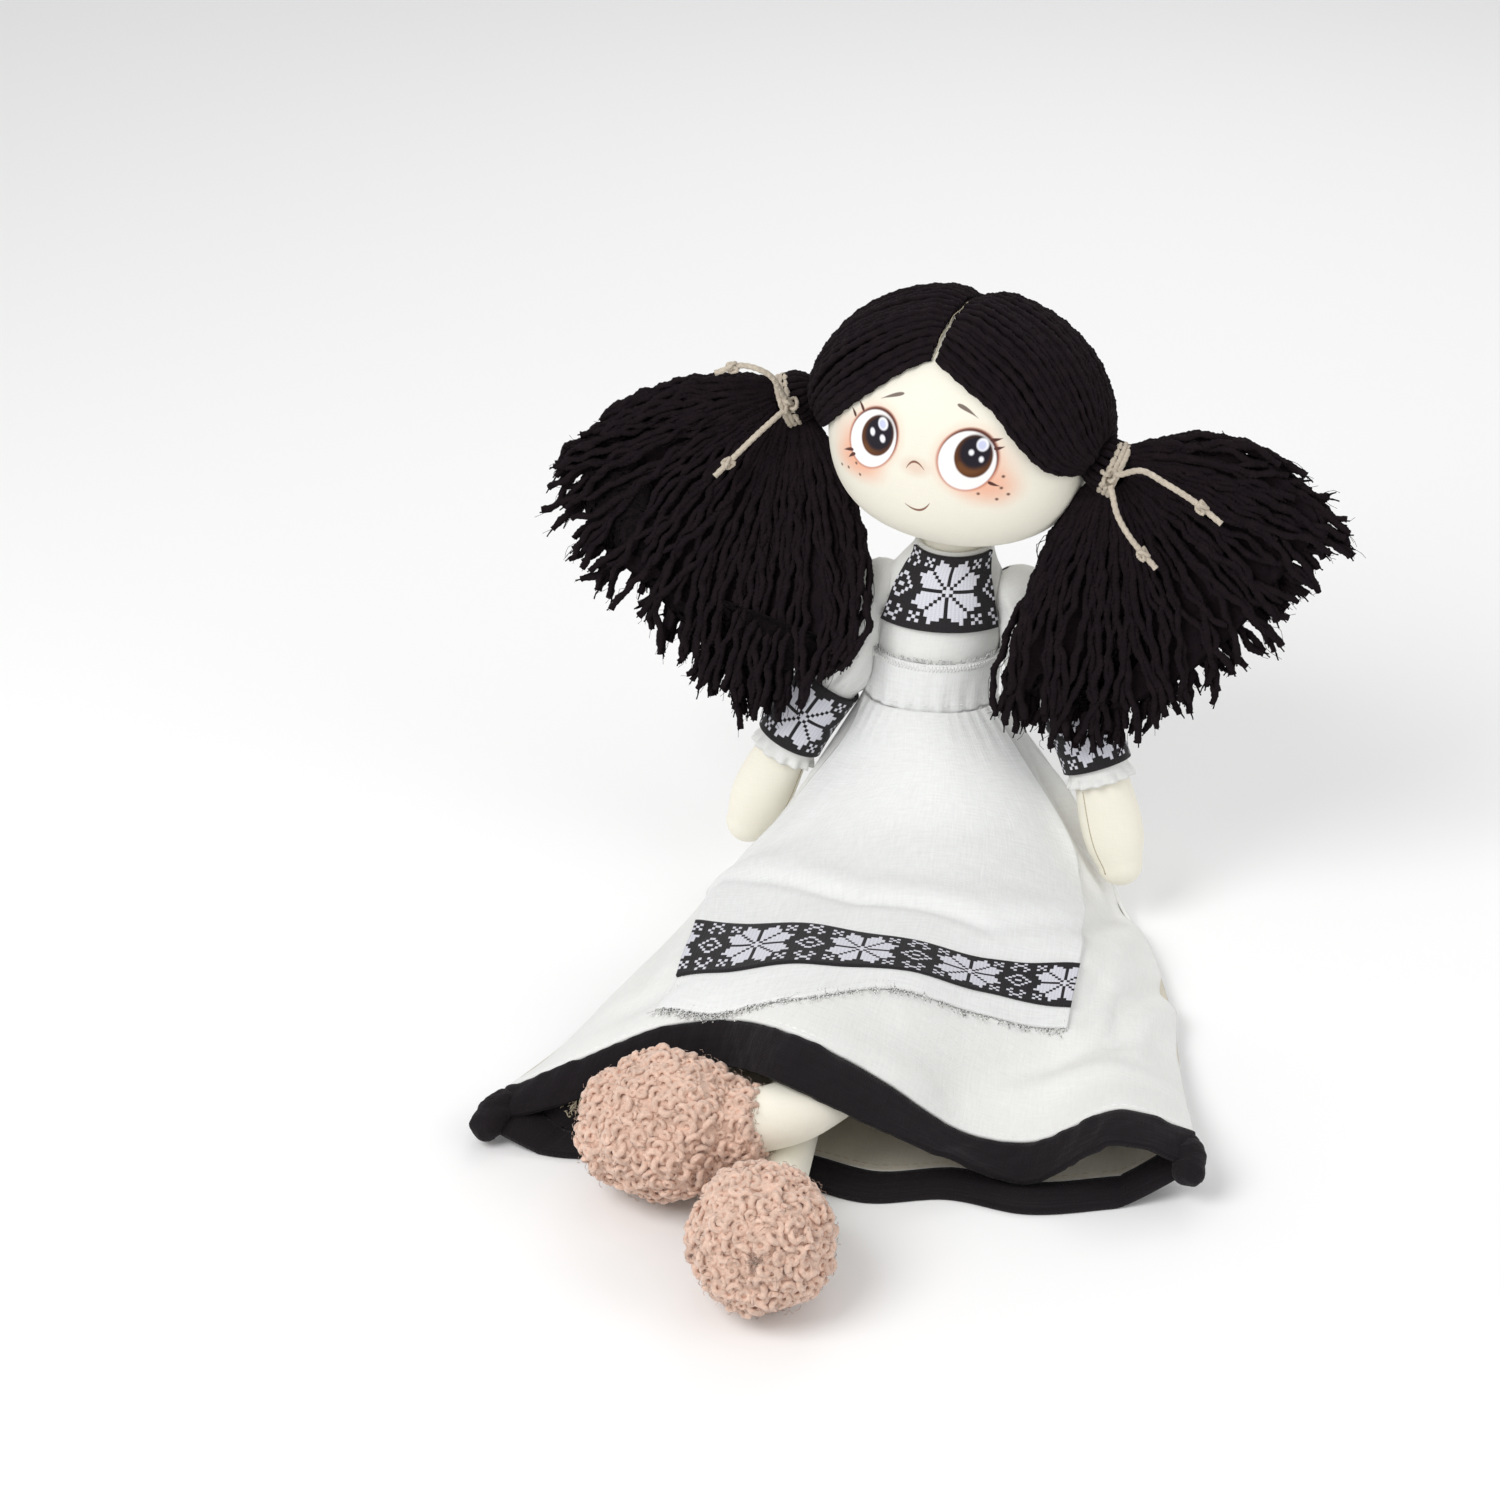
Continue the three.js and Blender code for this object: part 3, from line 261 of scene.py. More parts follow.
BACK_SHARES = [
    {"height": 0.625, "reach": [0.03, 0.11, 0.15, 0.17, 0.17, 0.155, 0.115, 0.04]},
    {"height": 0.125, "reach": [-0.03, 0.1, 0.185, 0.22, 0.22, 0.185, 0.11, 0]},
    {"height": 0, "reach": [-0.15, -0.02, 0.07, 0.11, 0.11, 0.07, -0.01, -0.13]},
    {"height": 0, "reach": [-0.46, -0.45, -0.45, -0.45, -0.45, -0.45, -0.45, -0.44]},
    {"height": 0, "reach": [-0.705, -0.705, -0.705, -0.705, -0.705, -0.705, -0.705, -0.685]},
    {"height": 0, "reach": [-0.9, -0.91, -0.9, -0.89, -0.915, -0.885, -0.9, -0.865]},
    {"height": 0, "reach": [-0.96, -0.945, -0.94, -0.96, -0.99, -0.96, -0.975, -0.94]},
]
BAND_SHARES = [0, 0.14, 0.28, 0.37, 0.55, 0.76, 0.925, 1]
APRON_LEFT_SHARES = [0.1, 0.035, 0.1, 0.17, 0.2]
APRON_RIGHT_SHARES = [0.86, 0.9, 0.85, 0.825, 0.81]
APRON_BOTTOM_SHARES = [0.87, 0.915, 0.86, 0.795, 0.762, 0.727, 0.7]
RIBBON_FROM_SHARES = [0.676, 0.693, 0.752, 0.832, 0.849, 0.842, 0.816]
RIBBON_TO_SHARES = [0.882, 0.869, 0.893, 0.942, 0.937, 0.934, 0.941]
HAIRLINE_SHARES = {
    "left": [[0, -0.655, 0.755], [0.255, -0.74, 0.62], [0.475, -0.745, 0.469], [0.64, -0.725, 0.25],
     [0.83, -0.56, 0], [1, -0.1, -0.14]],
    "right": [[0, -0.655, 0.755], [-0.17, -0.735, 0.656], [-0.44, -0.79, 0.43], [-0.73, -0.665, 0.14],
     [-0.92, -0.4, -0.06], [-1, -0.1, -0.08]],
}
FAN_SHARES = {
    "left": {"inner": [-0.245, -0.12, -0.42], "tips": [
     [-0.315, -0.2, -0.88], [-0.165, -0.18, -0.97], [0.055, -0.17, -0.99],
     [0.315, -0.14, -0.85], [0.565, -0.1, -0.59], [0.715, -0.06, -0.36],
     [0.815, -0.02, -0.18], [0.555, 0, 0.07]]},
    "right": {"inner": [0.295, -0.26, -0.46], "tips": [
     [0.225, -0.45, -0.8], [0.075, -0.44, -0.98], [-0.075, -0.43, -1.07],
     [-0.265, -0.39, -0.97], [-0.535, -0.33, -0.75], [-0.785, -0.26, -0.56],
     [-0.815, -0.19, -0.25], [-0.595, -0.12, -0.05]]},
}
ARM_PATH_SHARES = {
    "left": [[0, 0, 0], [0.14, -0.05, -0.25], [0.285, -0.13, -0.49], [0.425, -0.26, -0.91]],
    "right": [[0, 0, 0], [-0.11, -0.03, -0.25], [-0.275, -0.075, -0.52], [-0.49, -0.15, -1.017]],
}
ARM_ROW_SHARES = [
    [0, 1, 1], [0.25, 1, 0.977], [0.5, 1.023, 0.977],
    [0.68, 1.093, 0.953], [0.84, 1.256, 0.953], [0.99, 1.209, 0.907]]
PUFF_SHARES = [[0, 1], [0.222, 1.067], [0.5, 1.167], [0.75, 1.117], [0.917, 0.967]]
LEG_PATH_SHARES = {
    "left": [[0, 0, 0], [-0.03, -0.33, 0.025], [-0.075, -0.63, 0.048], [-0.115, -0.77, 0.06],
     [-0.145, -0.855, 0.075], [-0.19, -0.925, 0.084], [-0.25, -0.95, 0.077],
     [-0.31, -0.95, 0.065], [-0.39, -0.935, 0.048]],
    "right": [[0, 0, 0], [-0.01, -0.28, -0.015], [-0.025, -0.63, -0.015],
     [-0.025, -0.955, -0.017], [-0.018, -1.085, 0.003], [-0.01, -1.2, 0.047]],
}


# Surfaces that the pieces follow
def body_point(z, angle, out=0.0):
    """Points of the stuffed body at heights z and angles, moved outwards by out."""
    z, q, out = level(z, angle, out)
    a, b, x, y = np.moveaxis(table_at(BODY_SECTIONS, z), -1, 0)
    return np.stack([x + (a + out) * np.cos(q), y + (b + out) * np.sin(q), z], -1)


def panel(front):
    """The front or back of the skirt as a surface: u from seam to seam, v from waist to hem."""
    q = np.radians(np.linspace(-180, 0, 10) if front else np.linspace(180, 0, 10))
    rows = [body_point(WAIST, q, GAP + CLOTH / 2)]
    for row, back in zip(FRONT_SHARES, BACK_SHARES):
        left, right = (np.array(p) for p in row["seams"])
        own = row if front else back
        count = len(own["reach"])
        x = mix(left[0], right[0], np.arange(1, count + 1) / (count + 1))
        z = np.broadcast_to(np.asarray(own["height"], float), (count,))
        middle = np.stack([x, own["reach"], z], -1)
        rows.append(np.vstack([left, middle, right]) * SKIRT)
    rows = np.array(rows)
    shares = np.array(BAND_SHARES)

    def at(u, v):
        u, v = level(u, v)
        k = np.clip(np.searchsorted(shares, v, side="left") - 1, 0, len(shares) - 2)
        place = (k + np.clip((v - shares[k]) / (shares[k + 1] - shares[k]), 0, 1)) / (len(shares) - 1)
        across = spline_weights(rows.shape[1], u)
        down = spline_weights(rows.shape[0], place)
        p = np.einsum("ni,nj,ijk->nk", down, across, rows)
        if not front:
            p[:, 2] = np.where(p[:, 2] < CLOTH / 2 + GAP, CLOTH / 2, p[:, 2])
        return p

    return at


front_at = panel(True)
back_at = panel(False)


def apron_at(s, t):
    s, t = level(s, t)
    left, right = through(APRON_LEFT_SHARES, t), through(APRON_RIGHT_SHARES, t)
    return front_at(mix(left, right, s), mix(APRON_TOP_SHARE, through(APRON_BOTTOM_SHARES, s), t))


def apron_ribbon_at(s, w):
    s, w = level(s, w)
    return apron_at(s, mix(through(RIBBON_FROM_SHARES, s), through(RIBBON_TO_SHARES, s), w) + 0.013)


def chest_at(u, v):
    u, v = level(u, v)
    z = mix(CHEST["high"], CHEST["low"], v)
    half = mix(CHEST["high_half"], CHEST["low_half"], ease(v)) - 8 * np.sin(np.pi * v)
    return body_point(z, FRONT_ANGLE + np.radians(mix(-half, half, u)), 3 * GAP + CLOTH)


TURN = np.array([[math.cos(HEAD_TURN), -math.sin(HEAD_TURN), 0],
                 [math.sin(HEAD_TURN), math.cos(HEAD_TURN), 0], [0, 0, 1]])


def head_point(direction, out=0.0):
    """Points of the head along directions in its own frame, moved outwards by out."""
    direction = np.asarray(direction, float)
    half = HEAD_HALF + np.asarray(out, float)
    p = direction / half
    flat = np.hypot(p[:, 0], p[:, 1])
    power = np.where(direction[:, 2] < 0, JAW, CROWN)
    r = 1 / (flat**power + np.abs(p[:, 2])**power) ** (1 / power)
    return (direction * r[:, None]) @ TURN.T + HEAD_CENTRE


def parting_angle(u):
    """Angle over the crown, from the brow at 0 to the nape at 1."""
    peak, nape = (math.atan2(share[2], share[1]) for share in (PEAK_SHARE, NAPE_SHARE))
    return mix(peak, nape, u)


def lock(side, u, v):
    """Direction of the hair of one side: u from brow to nape, v from the parting to the tie."""
    sign = SIGN[side]
    u, v = level(u, v)
    start_angle = parting_angle(u)
    start = np.stack([np.full_like(u, 0.02 * sign), np.cos(start_angle), np.sin(start_angle)], -1)
    spread = np.radians(mix(-115, 115, u))
    end = np.stack([np.full_like(u, sign), 0.17 * np.sin(spread), -0.12 + 0.13 * np.cos(spread)], -1)
    p = start + (end - start) * v[:, None]
    brow = through(HAIRLINE_SHARES[side], v)
    brushed = PEAK_SHARE + (np.array([sign, -0.17, -0.12]) - PEAK_SHARE) * v[:, None]
    p += (brow - brushed) * ((1 - u) ** 3)[:, None]
    p[:, 1] += 0.1 * np.sin(np.pi * v) * u * u
    return p * HEAD_HALF


def tie_axis(side):
    return unit([0.86 * SIGN[side], -0.1, -0.35])


def tie_frame(side):
    axis = tie_axis(side)
    up = unit(np.array([0, 0, 1]) - axis * axis[2])
    return axis, up, np.cross(up, axis) * -SIGN[side]


def hair_layer(side, u, v, out, radius):
    """A layer of the hair cap, drawn together into the bundle that the tie holds."""
    u, v, radius = level(u, v, radius)
    axis, up, over = tie_frame(side)
    share = np.minimum(1, v / GATHERED_SHARE)
    on_head = head_point(lock(side, u, share * 0.93), out)
    spread = np.radians(mix(-150, 150, u))
    bundle = (TIE[side] - axis * 0.375 * TIE_NECK + (radius * np.cos(spread))[:, None] * up
              + (radius * np.sin(spread))[:, None] * over)
    return on_head + (bundle - on_head) * ease((v - GATHERED_SHARE) / (1 - GATHERED_SHARE))[:, None]


def fan_lock(side, u, t):
    """Middle of a pigtail's lock: u from the innermost lock to the topmost, t from tie to tip."""
    sign = SIGN[side]
    u, t = level(u, t)
    spread = np.radians(mix(-50, 150, u))
    root = TIE[side] + 0.75 * TIE_NECK * np.stack(
        [sign * np.sin(spread), np.zeros_like(u), -np.cos(spread)], -1)
    tip = through(FAN_SHARES[side]["tips"], u) * FAN_LENGTH + TIE[side]
    inner = np.array(FAN_SHARES[side]["inner"]) * FAN_LENGTH + TIE[side]
    bend = (root + tip) / 2
    bend[:, 0] += sign * FAN_LENGTH * mix(0.05, 0.01, u)
    bend[:, 2] += FAN_LENGTH * 0.14 * u * u
    innermost = (np.maximum(0, 1 - u / 0.3) ** 2)[:, None]
    bend = mix(bend, 2 * inner - (root + tip) / 2, innermost)
    t = t[:, None]
    return mix(mix(root, bend, t), mix(bend, tip, t), t)


def arm_path(side):
    return Path(np.array(ARM_PATH_SHARES[side]) * ARM_LENGTH + SHOULDER[side])


def leg_path(side):
    return Path(np.array(LEG_PATH_SHARES[side]) * LEG_LENGTH + HIP[side])


# where a star's middle falls on each flat ribbon, in millimetres
CHEST_STAR = (20.9, 13.0)
APRON_STAR = (27.2, 13.7)
CUFF_STAR = {"left": (15.8, 51.0), "right": (20.1, 51.0)}
ARM_SIDE = {"left": (1, 0, 0.35), "right": (1, 0, -0.35)}
HAND_SEAM = {"left": 2.24, "right": 0.45}


# Meshes
def grid_faces(rows, columns, close_columns=False, start=0):
    """Quads of a grid of points, row by row."""
    wide = columns if close_columns else columns - 1
    r, c = np.meshgrid(np.arange(rows - 1), np.arange(wide), indexing="ij")
    nxt = (c + 1) % columns
    quads = np.stack([r * columns + c, r * columns + nxt, (r + 1) * columns + nxt,
                      (r + 1) * columns + c], -1)
    return quads.reshape(-1, 4) + start


def new_piece(name, points, faces, material=None, uv=None, smooth=True, edges=()):
    """A mesh object from points in millimetres; uv holds one pair of millimetres for each point."""
    mesh = bpy.data.meshes.new(name)
    faces = [tuple(int(i) for i in f) for f in faces]
    mesh.from_pydata((np.asarray(points, float) * MM).tolist(), [tuple(e) for e in edges], faces)
    if uv is not None:
        layer = mesh.uv_layers.new(name="cloth")
        corner = np.empty(len(mesh.loops), dtype=np.int32)
        mesh.loops.foreach_get("vertex_index", corner)
        layer.data.foreach_set("uv", (np.asarray(uv, float) * MM)[corner].ravel().astype(np.float32))
    mesh.polygons.foreach_set("use_smooth", [smooth] * len(mesh.polygons))
    mesh.validate()
    mesh.update()
    piece = bpy.data.objects.new(name, mesh)
    bpy.context.scene.collection.objects.link(piece)
    if material:
        mesh.materials.append(material)
    return piece


def face_out(faces, points):
    """The same faces, turned over as a whole where they enclose a negative volume."""
    p = np.asarray(points, float)
    p = p - p.mean(axis=0)
    volume = 0
    for count in (3, 4):
        chosen = np.array([f for f in faces if len(f) == count], dtype=int)
        if len(chosen) == 0:
            continue
        for k in range(1, count - 1):
            a, b, c = p[chosen[:, 0]], p[chosen[:, k]], p[chosen[:, k + 1]]
            volume += np.einsum("ij,ij->i", a, np.cross(b, c)).sum()
    if volume < 0:
        return [tuple(reversed([int(i) for i in f])) for f in faces]
    return [tuple(int(i) for i in f) for f in faces]


def skin(rings, around):
    """Closed skin over rings of points with the same count, with a point in each end."""
    rings = np.asarray(rings, float)
    rows, columns, _ = rings.shape
    points = np.vstack([rings.reshape(-1, 3), rings[0].mean(0)[None], rings[-1].mean(0)[None]])
    faces = [tuple(f) for f in grid_faces(rows, columns, True)]
    first, last = rows * columns, rows * columns + 1
    for k in range(columns):
        q = (k + 1) % columns
        faces.append((first, q, k))
        faces.append((last, (rows - 1) * columns + k, (rows - 1) * columns + q))
    uv = None
    if around is not None:
        uv = np.vstack([np.asarray(around, float).reshape(-1, 2), [[0, 0]], [[0, 0]]])
    return points, face_out(faces, points), uv


def two_sheet_faces(across, along):
    """Faces of an under and an upper grid of points, with the walls round their edges."""
    w = across + 1
    half = w * (along + 1)
    faces = [tuple(f) for f in grid_faces(along + 1, w)]
    faces += [tuple(f) for f in grid_faces(along + 1, w, start=half)[:, ::-1]]
    for i in range(across):
        b = along * w + i
        faces += [(i, half + i, half + i + 1, i + 1), (b, b + 1, half + b + 1, half + b)]
    for j in range(along):
        a, b = j * w, j * w + across
        faces += [(a, a + w, half + a + w, half + a), (b, half + b, half + b + w, b + w)]
    return faces


def ring_faces(rings, around):
    """Faces of a tube wall and its lining: rings of points, the last joined to the first."""
    last = (rings - 1) * around
    faces = [tuple(f) for f in grid_faces(rings, around, True)]
    return faces + [(last + k, last + (k + 1) % around, (k + 1) % around, k) for k in range(around)]


def across_and_up(tangent, side):
    """Two directions square to each tangent, the first as near to side as it can be."""
    side = np.asarray(side, float)
    across = unit(side - tangent * (tangent @ side)[:, None])
    return across, np.cross(tangent, across)


def sheet_mesh(at, low, high, across, along, span=(0, 1, 0, 1), lift=None, size=None):
    """Points, faces and flat coordinates of cloth between two offsets of the surface at(u, v).

    lift(u, v, p) adds folds along the normal, and size is the flat width and length.
    """
    u0, u1, v0, v1 = span
    v, u = np.meshgrid(np.linspace(v0, v1, along + 1), np.linspace(u0, u1, across + 1), indexing="ij")
    u, v = u.ravel(), v.ravel()
    step = 1e-3
    p = at(u, v)
    du = at(np.minimum(1, u + step), v) - at(np.maximum(0, u - step), v)
    dv = at(u, np.minimum(1, v + step)) - at(u, np.maximum(0, v - step))
    normal = unit(np.cross(dv, du))
    raised = lift(u, v, p) if lift else 0
    raised = np.broadcast_to(raised, u.shape)
    top, under = p + normal * (high + raised)[:, None], p + normal * (low + raised)[:, None]
    points = np.vstack([under, top])
    faces = two_sheet_faces(across, along)
    if size is None:
        grid = p.reshape(along + 1, across + 1, 3)
        size = [np.linalg.norm(np.diff(grid, axis=k), axis=2).sum(k).mean() for k in (1, 0)]
    flat = np.stack([(u - u0) / (u1 - u0) * size[0], (v - v0) / (v1 - v0) * size[1]], -1)
    return points, face_out(faces, points), np.vstack([flat, flat]), size


def limb_mesh(path, rows, side, around=48, step=1.6, rises=(0, 0), grow=0.0):
    """Rounded stuffed tube along a path. Rows are distance, half width and half depth."""
    rows = np.asarray(rows, float)
    first, last = rows[0], rows[-1]
    dome = np.radians([3, 12, 24, 36, 48, 60, 72, 82])
    start_rise = (rises[0] or min(first[1:])) + grow
    end_rise = (rises[1] or min(last[1:])) + grow
    stations = np.linspace(first[0], last[0], max(8, int((last[0] - first[0]) / step)))
    half = table_at(rows, stations) + grow
    s = np.concatenate([first[0] - start_rise * np.cos(dome), stations,
                        last[0] + end_rise * np.cos(dome[::-1])])
    k = np.sin(dome)[:, None]
    half = np.vstack([(first[1:] + grow) * k, half, (last[1:] + grow) * k[::-1]])
    place, tangent = path.at(s)
    across, up = across_and_up(tangent, side)
    q = np.linspace(0, 2 * np.pi, around, endpoint=False)
    rings = (place[:, None] + across[:, None] * (half[:, :1] * np.cos(q))[:, :, None]
             + up[:, None] * (half[:, 1:] * np.sin(q))[:, :, None])
    reach = np.broadcast_to(s[:, None], rings.shape[:2])
    girth = np.broadcast_to(q * half.mean(), rings.shape[:2])
    return skin(rings, np.stack([girth, reach], -1))


def sleeve_mesh(path, rows, side, thick, around=72, step=1.0, lift=None):
    """Open tube of cloth along a path, with its inner wall. Rows are distance and radius."""
    rows = np.asarray(rows, float)
    s = np.linspace(rows[0, 0], rows[-1, 0], max(8, int((rows[-1, 0] - rows[0, 0]) / step)))
    radius = table_at(rows, s)[:, 0]
    place, tangent = path.at(s)
    across, up = across_and_up(tangent, side)
    q = np.linspace(0, 2 * np.pi, around, endpoint=False)
    flat = mix(1, 0.93, ease((s - 0.55 * CUFF_START) / (0.85 * CUFF_START)))
    raised = np.zeros((len(s), around))
    if lift:
        raised = lift(*(w.ravel() for w in np.meshgrid(s, q, indexing="ij"))).reshape(len(s), around)
    walls = []
    for inward in (0, thick):
        r = radius[:, None] + raised - inward
        walls.append(place[:, None] + across[:, None] * (r * np.cos(q))[:, :, None]
                     + up[:, None] * (r * flat[:, None] * np.sin(q))[:, :, None])
    rings = np.concatenate([walls[0], walls[1][::-1]])
    points = rings.reshape(-1, 3)
    faces = ring_faces(len(rings), around)
    girth = np.broadcast_to(q * radius.mean(), (len(s), around))
    reach = np.broadcast_to(s[:, None], (len(s), around))
    one = np.stack([girth, reach], -1)
    uv = np.concatenate([one, one[::-1]]).reshape(-1, 2)
    return points, face_out(faces, points), uv


def keep_out_of_ball(points, centre, radius):
    """Points inside a ball are moved to its surface."""
    away = points - centre
    distance = np.linalg.norm(away, axis=1)
    inside = distance < radius
    points = points.copy()
    points[inside] = centre + away[inside] / np.maximum(distance[inside], 1e-6)[:, None] * radius
    return points


def keep_out_of_body(points, out, low, high):
    """Points within the dressed body's outline are moved out to it."""
    a, b, x, y = np.moveaxis(table_at(BODY_SECTIONS, np.clip(points[:, 2], 3, BODY_HEIGHT)), -1, 0)
    a, b = a + out, b + out
    reach = np.hypot((points[:, 0] - x) / a, (points[:, 1] - y) / b)
    inside = (reach < 1) & (points[:, 2] > low) & (points[:, 2] < high)
    points = points.copy()
    grow = 1 / np.maximum(reach[inside], 0.2)
    points[inside, 0] = x[inside] + (points[inside, 0] - x[inside]) * grow
    points[inside, 1] = y[inside] + (points[inside, 1] - y[inside]) * grow
    return points


def poly_lines(name, lines, extra=None):
    """A mesh of separate lines of points in millimetres, with any values kept on its points."""
    points = np.vstack(lines)
    edges = []
    start = 0
    for line in lines:
        edges += [(start + k, start + k + 1) for k in range(len(line) - 1)]
        start += len(line)
    mesh = bpy.data.meshes.new(name)
    mesh.from_pydata((points * MM).tolist(), edges, [])
    for key, values in (extra or {}).items():
        layer = mesh.attributes.new(key, "FLOAT", "POINT")
        layer.data.foreach_set("value", np.concatenate(values).astype(np.float32))
    piece = bpy.data.objects.new(name, mesh)
    bpy.context.scene.collection.objects.link(piece)
    return piece


def grown(piece, tree, values):
    """Runs a geometry tree on a piece with its inputs set by name, and keeps the plain mesh."""
    modifier = piece.modifiers.new(tree.name, "NODES")
    modifier.node_group = tree
    for item in tree.interface.items_tree:
        if item.item_type == "SOCKET" and item.in_out == "INPUT" and item.name in values:
            modifier[item.identifier] = values[item.name]
    bpy.context.view_layer.update()
    graph = bpy.context.evaluated_depsgraph_get()
    mesh = bpy.data.meshes.new_from_object(piece.evaluated_get(graph), depsgraph=graph)
    piece.modifiers.remove(modifier)
    old = piece.data
    mesh.name = piece.name
    piece.data = mesh
    bpy.data.meshes.remove(old)
    if len(mesh.polygons) == 0:
        raise RuntimeError(f"{piece.name}: the tree {tree.name} made no faces")
    mesh.polygons.foreach_set("use_smooth", [True] * len(mesh.polygons))
    return piece


# Sizes and colours that a user would change
def colour(name, description, value):
    return FloatVectorProperty(name=name, description=description, subtype="COLOR", size=3,
                               min=0, max=1, default=value)


def length(name, description, value, low=0.0001, high=0.05):
    return FloatProperty(name=name, description=description, subtype="DISTANCE", unit="LENGTH",
                         min=low, max=high, default=value, precision=4)


class HairSettings(bpy.types.PropertyGroup):
    """Yarn of the hair"""
    yarn: length("Yarn thickness", "Diameter of one strand of yarn", 0.0031)
    lay: length("Lay of the yarn", "Length of one turn of its two plies", 0.0125)
    cap_strands: IntProperty(name="Strands on each side", description="Locks from the parting to one tie",
                             min=12, max=90, default=68)
    fan_strands: IntProperty(name="Strands in a pigtail", description="Strands of yarn in one pigtail",
                             min=20, max=220, default=186)
    colour: colour("Yarn colour", "Colour of the hair", (0.0095, 0.0055, 0.0075))
    twine_colour: colour("Twine colour", "Colour of the linen twine", (0.56, 0.49, 0.40))


class ClothSettings(bpy.types.PropertyGroup):
    """Linen and cotton"""
    thread: length("Thread spacing", "Distance between threads of the linen", 0.00055, 0.0002, 0.004)
    skin: colour("Body cotton", "Colour of the stuffed body", (0.885, 0.850, 0.735))
    dress: colour("Dress linen", "Colour of the dress", (0.83, 0.83, 0.81))
    apron: colour("Apron linen", "Colour of the apron", (0.85, 0.86, 0.85))
    fringe: length("Fringe", "Length of the frayed threads at the apron's hem", 0.0035, 0.001, 0.01)


class TrimSettings(bpy.types.PropertyGroup):
    """Woven ribbon and hem binding"""
    dark: colour("Dark thread", "Dark thread of the ribbon", (0.019, 0.017, 0.019))
    light: colour("Light thread", "Light thread of the ribbon", (0.70, 0.70, 0.77))
    binding: colour("Binding", "Colour of the hem binding", (0.0135, 0.0110, 0.0130))
    cell: length("Pattern cell", "Size of one cell of the ribbon's pattern", 0.001218, 0.0005, 0.003)


class FaceSettings(bpy.types.PropertyGroup):
    """Painted face"""
    iris: colour("Iris", "Colour of the iris", (0.105, 0.036, 0.011))
    blush: colour("Blush", "Colour rubbed on the cheeks", (0.88, 0.36, 0.20))
    line: colour("Lines", "Colour of the brows, nose and mouth", (0.080, 0.035, 0.025))


class BootieSettings(bpy.types.PropertyGroup):
    """Curly knitted booties"""
    colour: colour("Knit colour", "Colour of the booties", (0.73, 0.515, 0.41))
    spacing: length("Curl spacing", "Distance between curls of the knit", 0.0025, 0.001, 0.006)
    curl: length("Curl radius", "Radius of one curl", 0.0016, 0.0008, 0.005)
    strand: length("Curl yarn", "Thickness of the curly yarn", 0.0020, 0.0004, 0.003)


class StudioSettings(bpy.types.PropertyGroup):
    """Floor, light and camera"""
    floor: colour("Floor", "Colour of the floor", (0.95, 0.95, 0.95))
    key: FloatProperty(name="Key light", description="Power of the main lamp in watts", min=0, max=60,
                       default=7.5)
    fill: FloatProperty(name="Surrounding light", description="Strength of the white surroundings",
                        min=0, max=3, default=0.62)
    distance: FloatProperty(name="Camera distance", description="From the camera to the doll's seat",
                            subtype="DISTANCE", unit="LENGTH", min=0.5, max=3, default=1.150)


SETTINGS = {"doll_hair": HairSettings, "doll_cloth": ClothSettings, "doll_trim": TrimSettings,
            "doll_face": FaceSettings, "doll_bootie": BootieSettings, "doll_studio": StudioSettings}


def settings(name):
    return getattr(bpy.context.scene, "doll_" + name)


# Values in a node tree
class Amount:
    """A number inside a node tree, so that chains of Math nodes read as sums."""

    def __init__(self, tree, socket):
        self.tree, self.socket = tree, socket

    def math(self, operation, *others, clamp=False):
        node = self.tree.nodes.new("ShaderNodeMath")
        node.operation, node.use_clamp = operation, clamp
        for k, value in enumerate((self, *others)):
            if isinstance(value, Amount):
                self.tree.links.new(value.socket, node.inputs[k])
            else:
                node.inputs[k].default_value = value
        return Amount(self.tree, node.outputs[0])

    def __add__(self, other):
        return self.math("ADD", other)

    def __sub__(self, other):
        return self.math("SUBTRACT", other)

    def __mul__(self, other):
        return self.math("MULTIPLY", other)

    def __truediv__(self, other):
        return self.math("DIVIDE", other)

    def less(self, other):
        return self.math("LESS_THAN", other)

    def more(self, other):
        return self.math("GREATER_THAN", other)

    def near(self, value, within=0.5):
        return (self - value).math("ABSOLUTE").less(within)

    def flip(self):
        return (self * -1) + 1


def node(tree, kind, inputs=None, **fields):
    made = tree.nodes.new(kind)
    for key, value in fields.items():
        setattr(made, key, value)
    for key, value in (inputs or {}).items():
        if isinstance(value, Amount):
            tree.links.new(value.socket, made.inputs[key])
        elif isinstance(value, bpy.types.NodeSocket):
            tree.links.new(value, made.inputs[key])
        else:
            made.inputs[key].default_value = value
    return made


def new_group(name, inputs, outputs, kind="ShaderNodeTree"):
    """A node group with named inputs (name, socket type, default) and outputs (name, type)."""
    tree = bpy.data.node_groups.new(name, kind)
    for label, socket, value in inputs:
        made = tree.interface.new_socket(name=label, in_out="INPUT", socket_type=socket)
        if value is not None:
            made.default_value = value
    for label, socket in outputs:
        tree.interface.new_socket(name=label, in_out="OUTPUT", socket_type=socket)
    start = tree.nodes.new("NodeGroupInput")
    end = tree.nodes.new("NodeGroupOutput")
    return tree, start, end


FLOAT, VECTOR, WHOLE = "NodeSocketFloat", "NodeSocketVector", "NodeSocketInt"
MESH, FINISH = "NodeSocketGeometry", "NodeSocketMaterial"


def split(tree, vector):
    parts = node(tree, "ShaderNodeSeparateXYZ", {0: vector})
    return [Amount(tree, parts.outputs[k]) for k in range(3)]


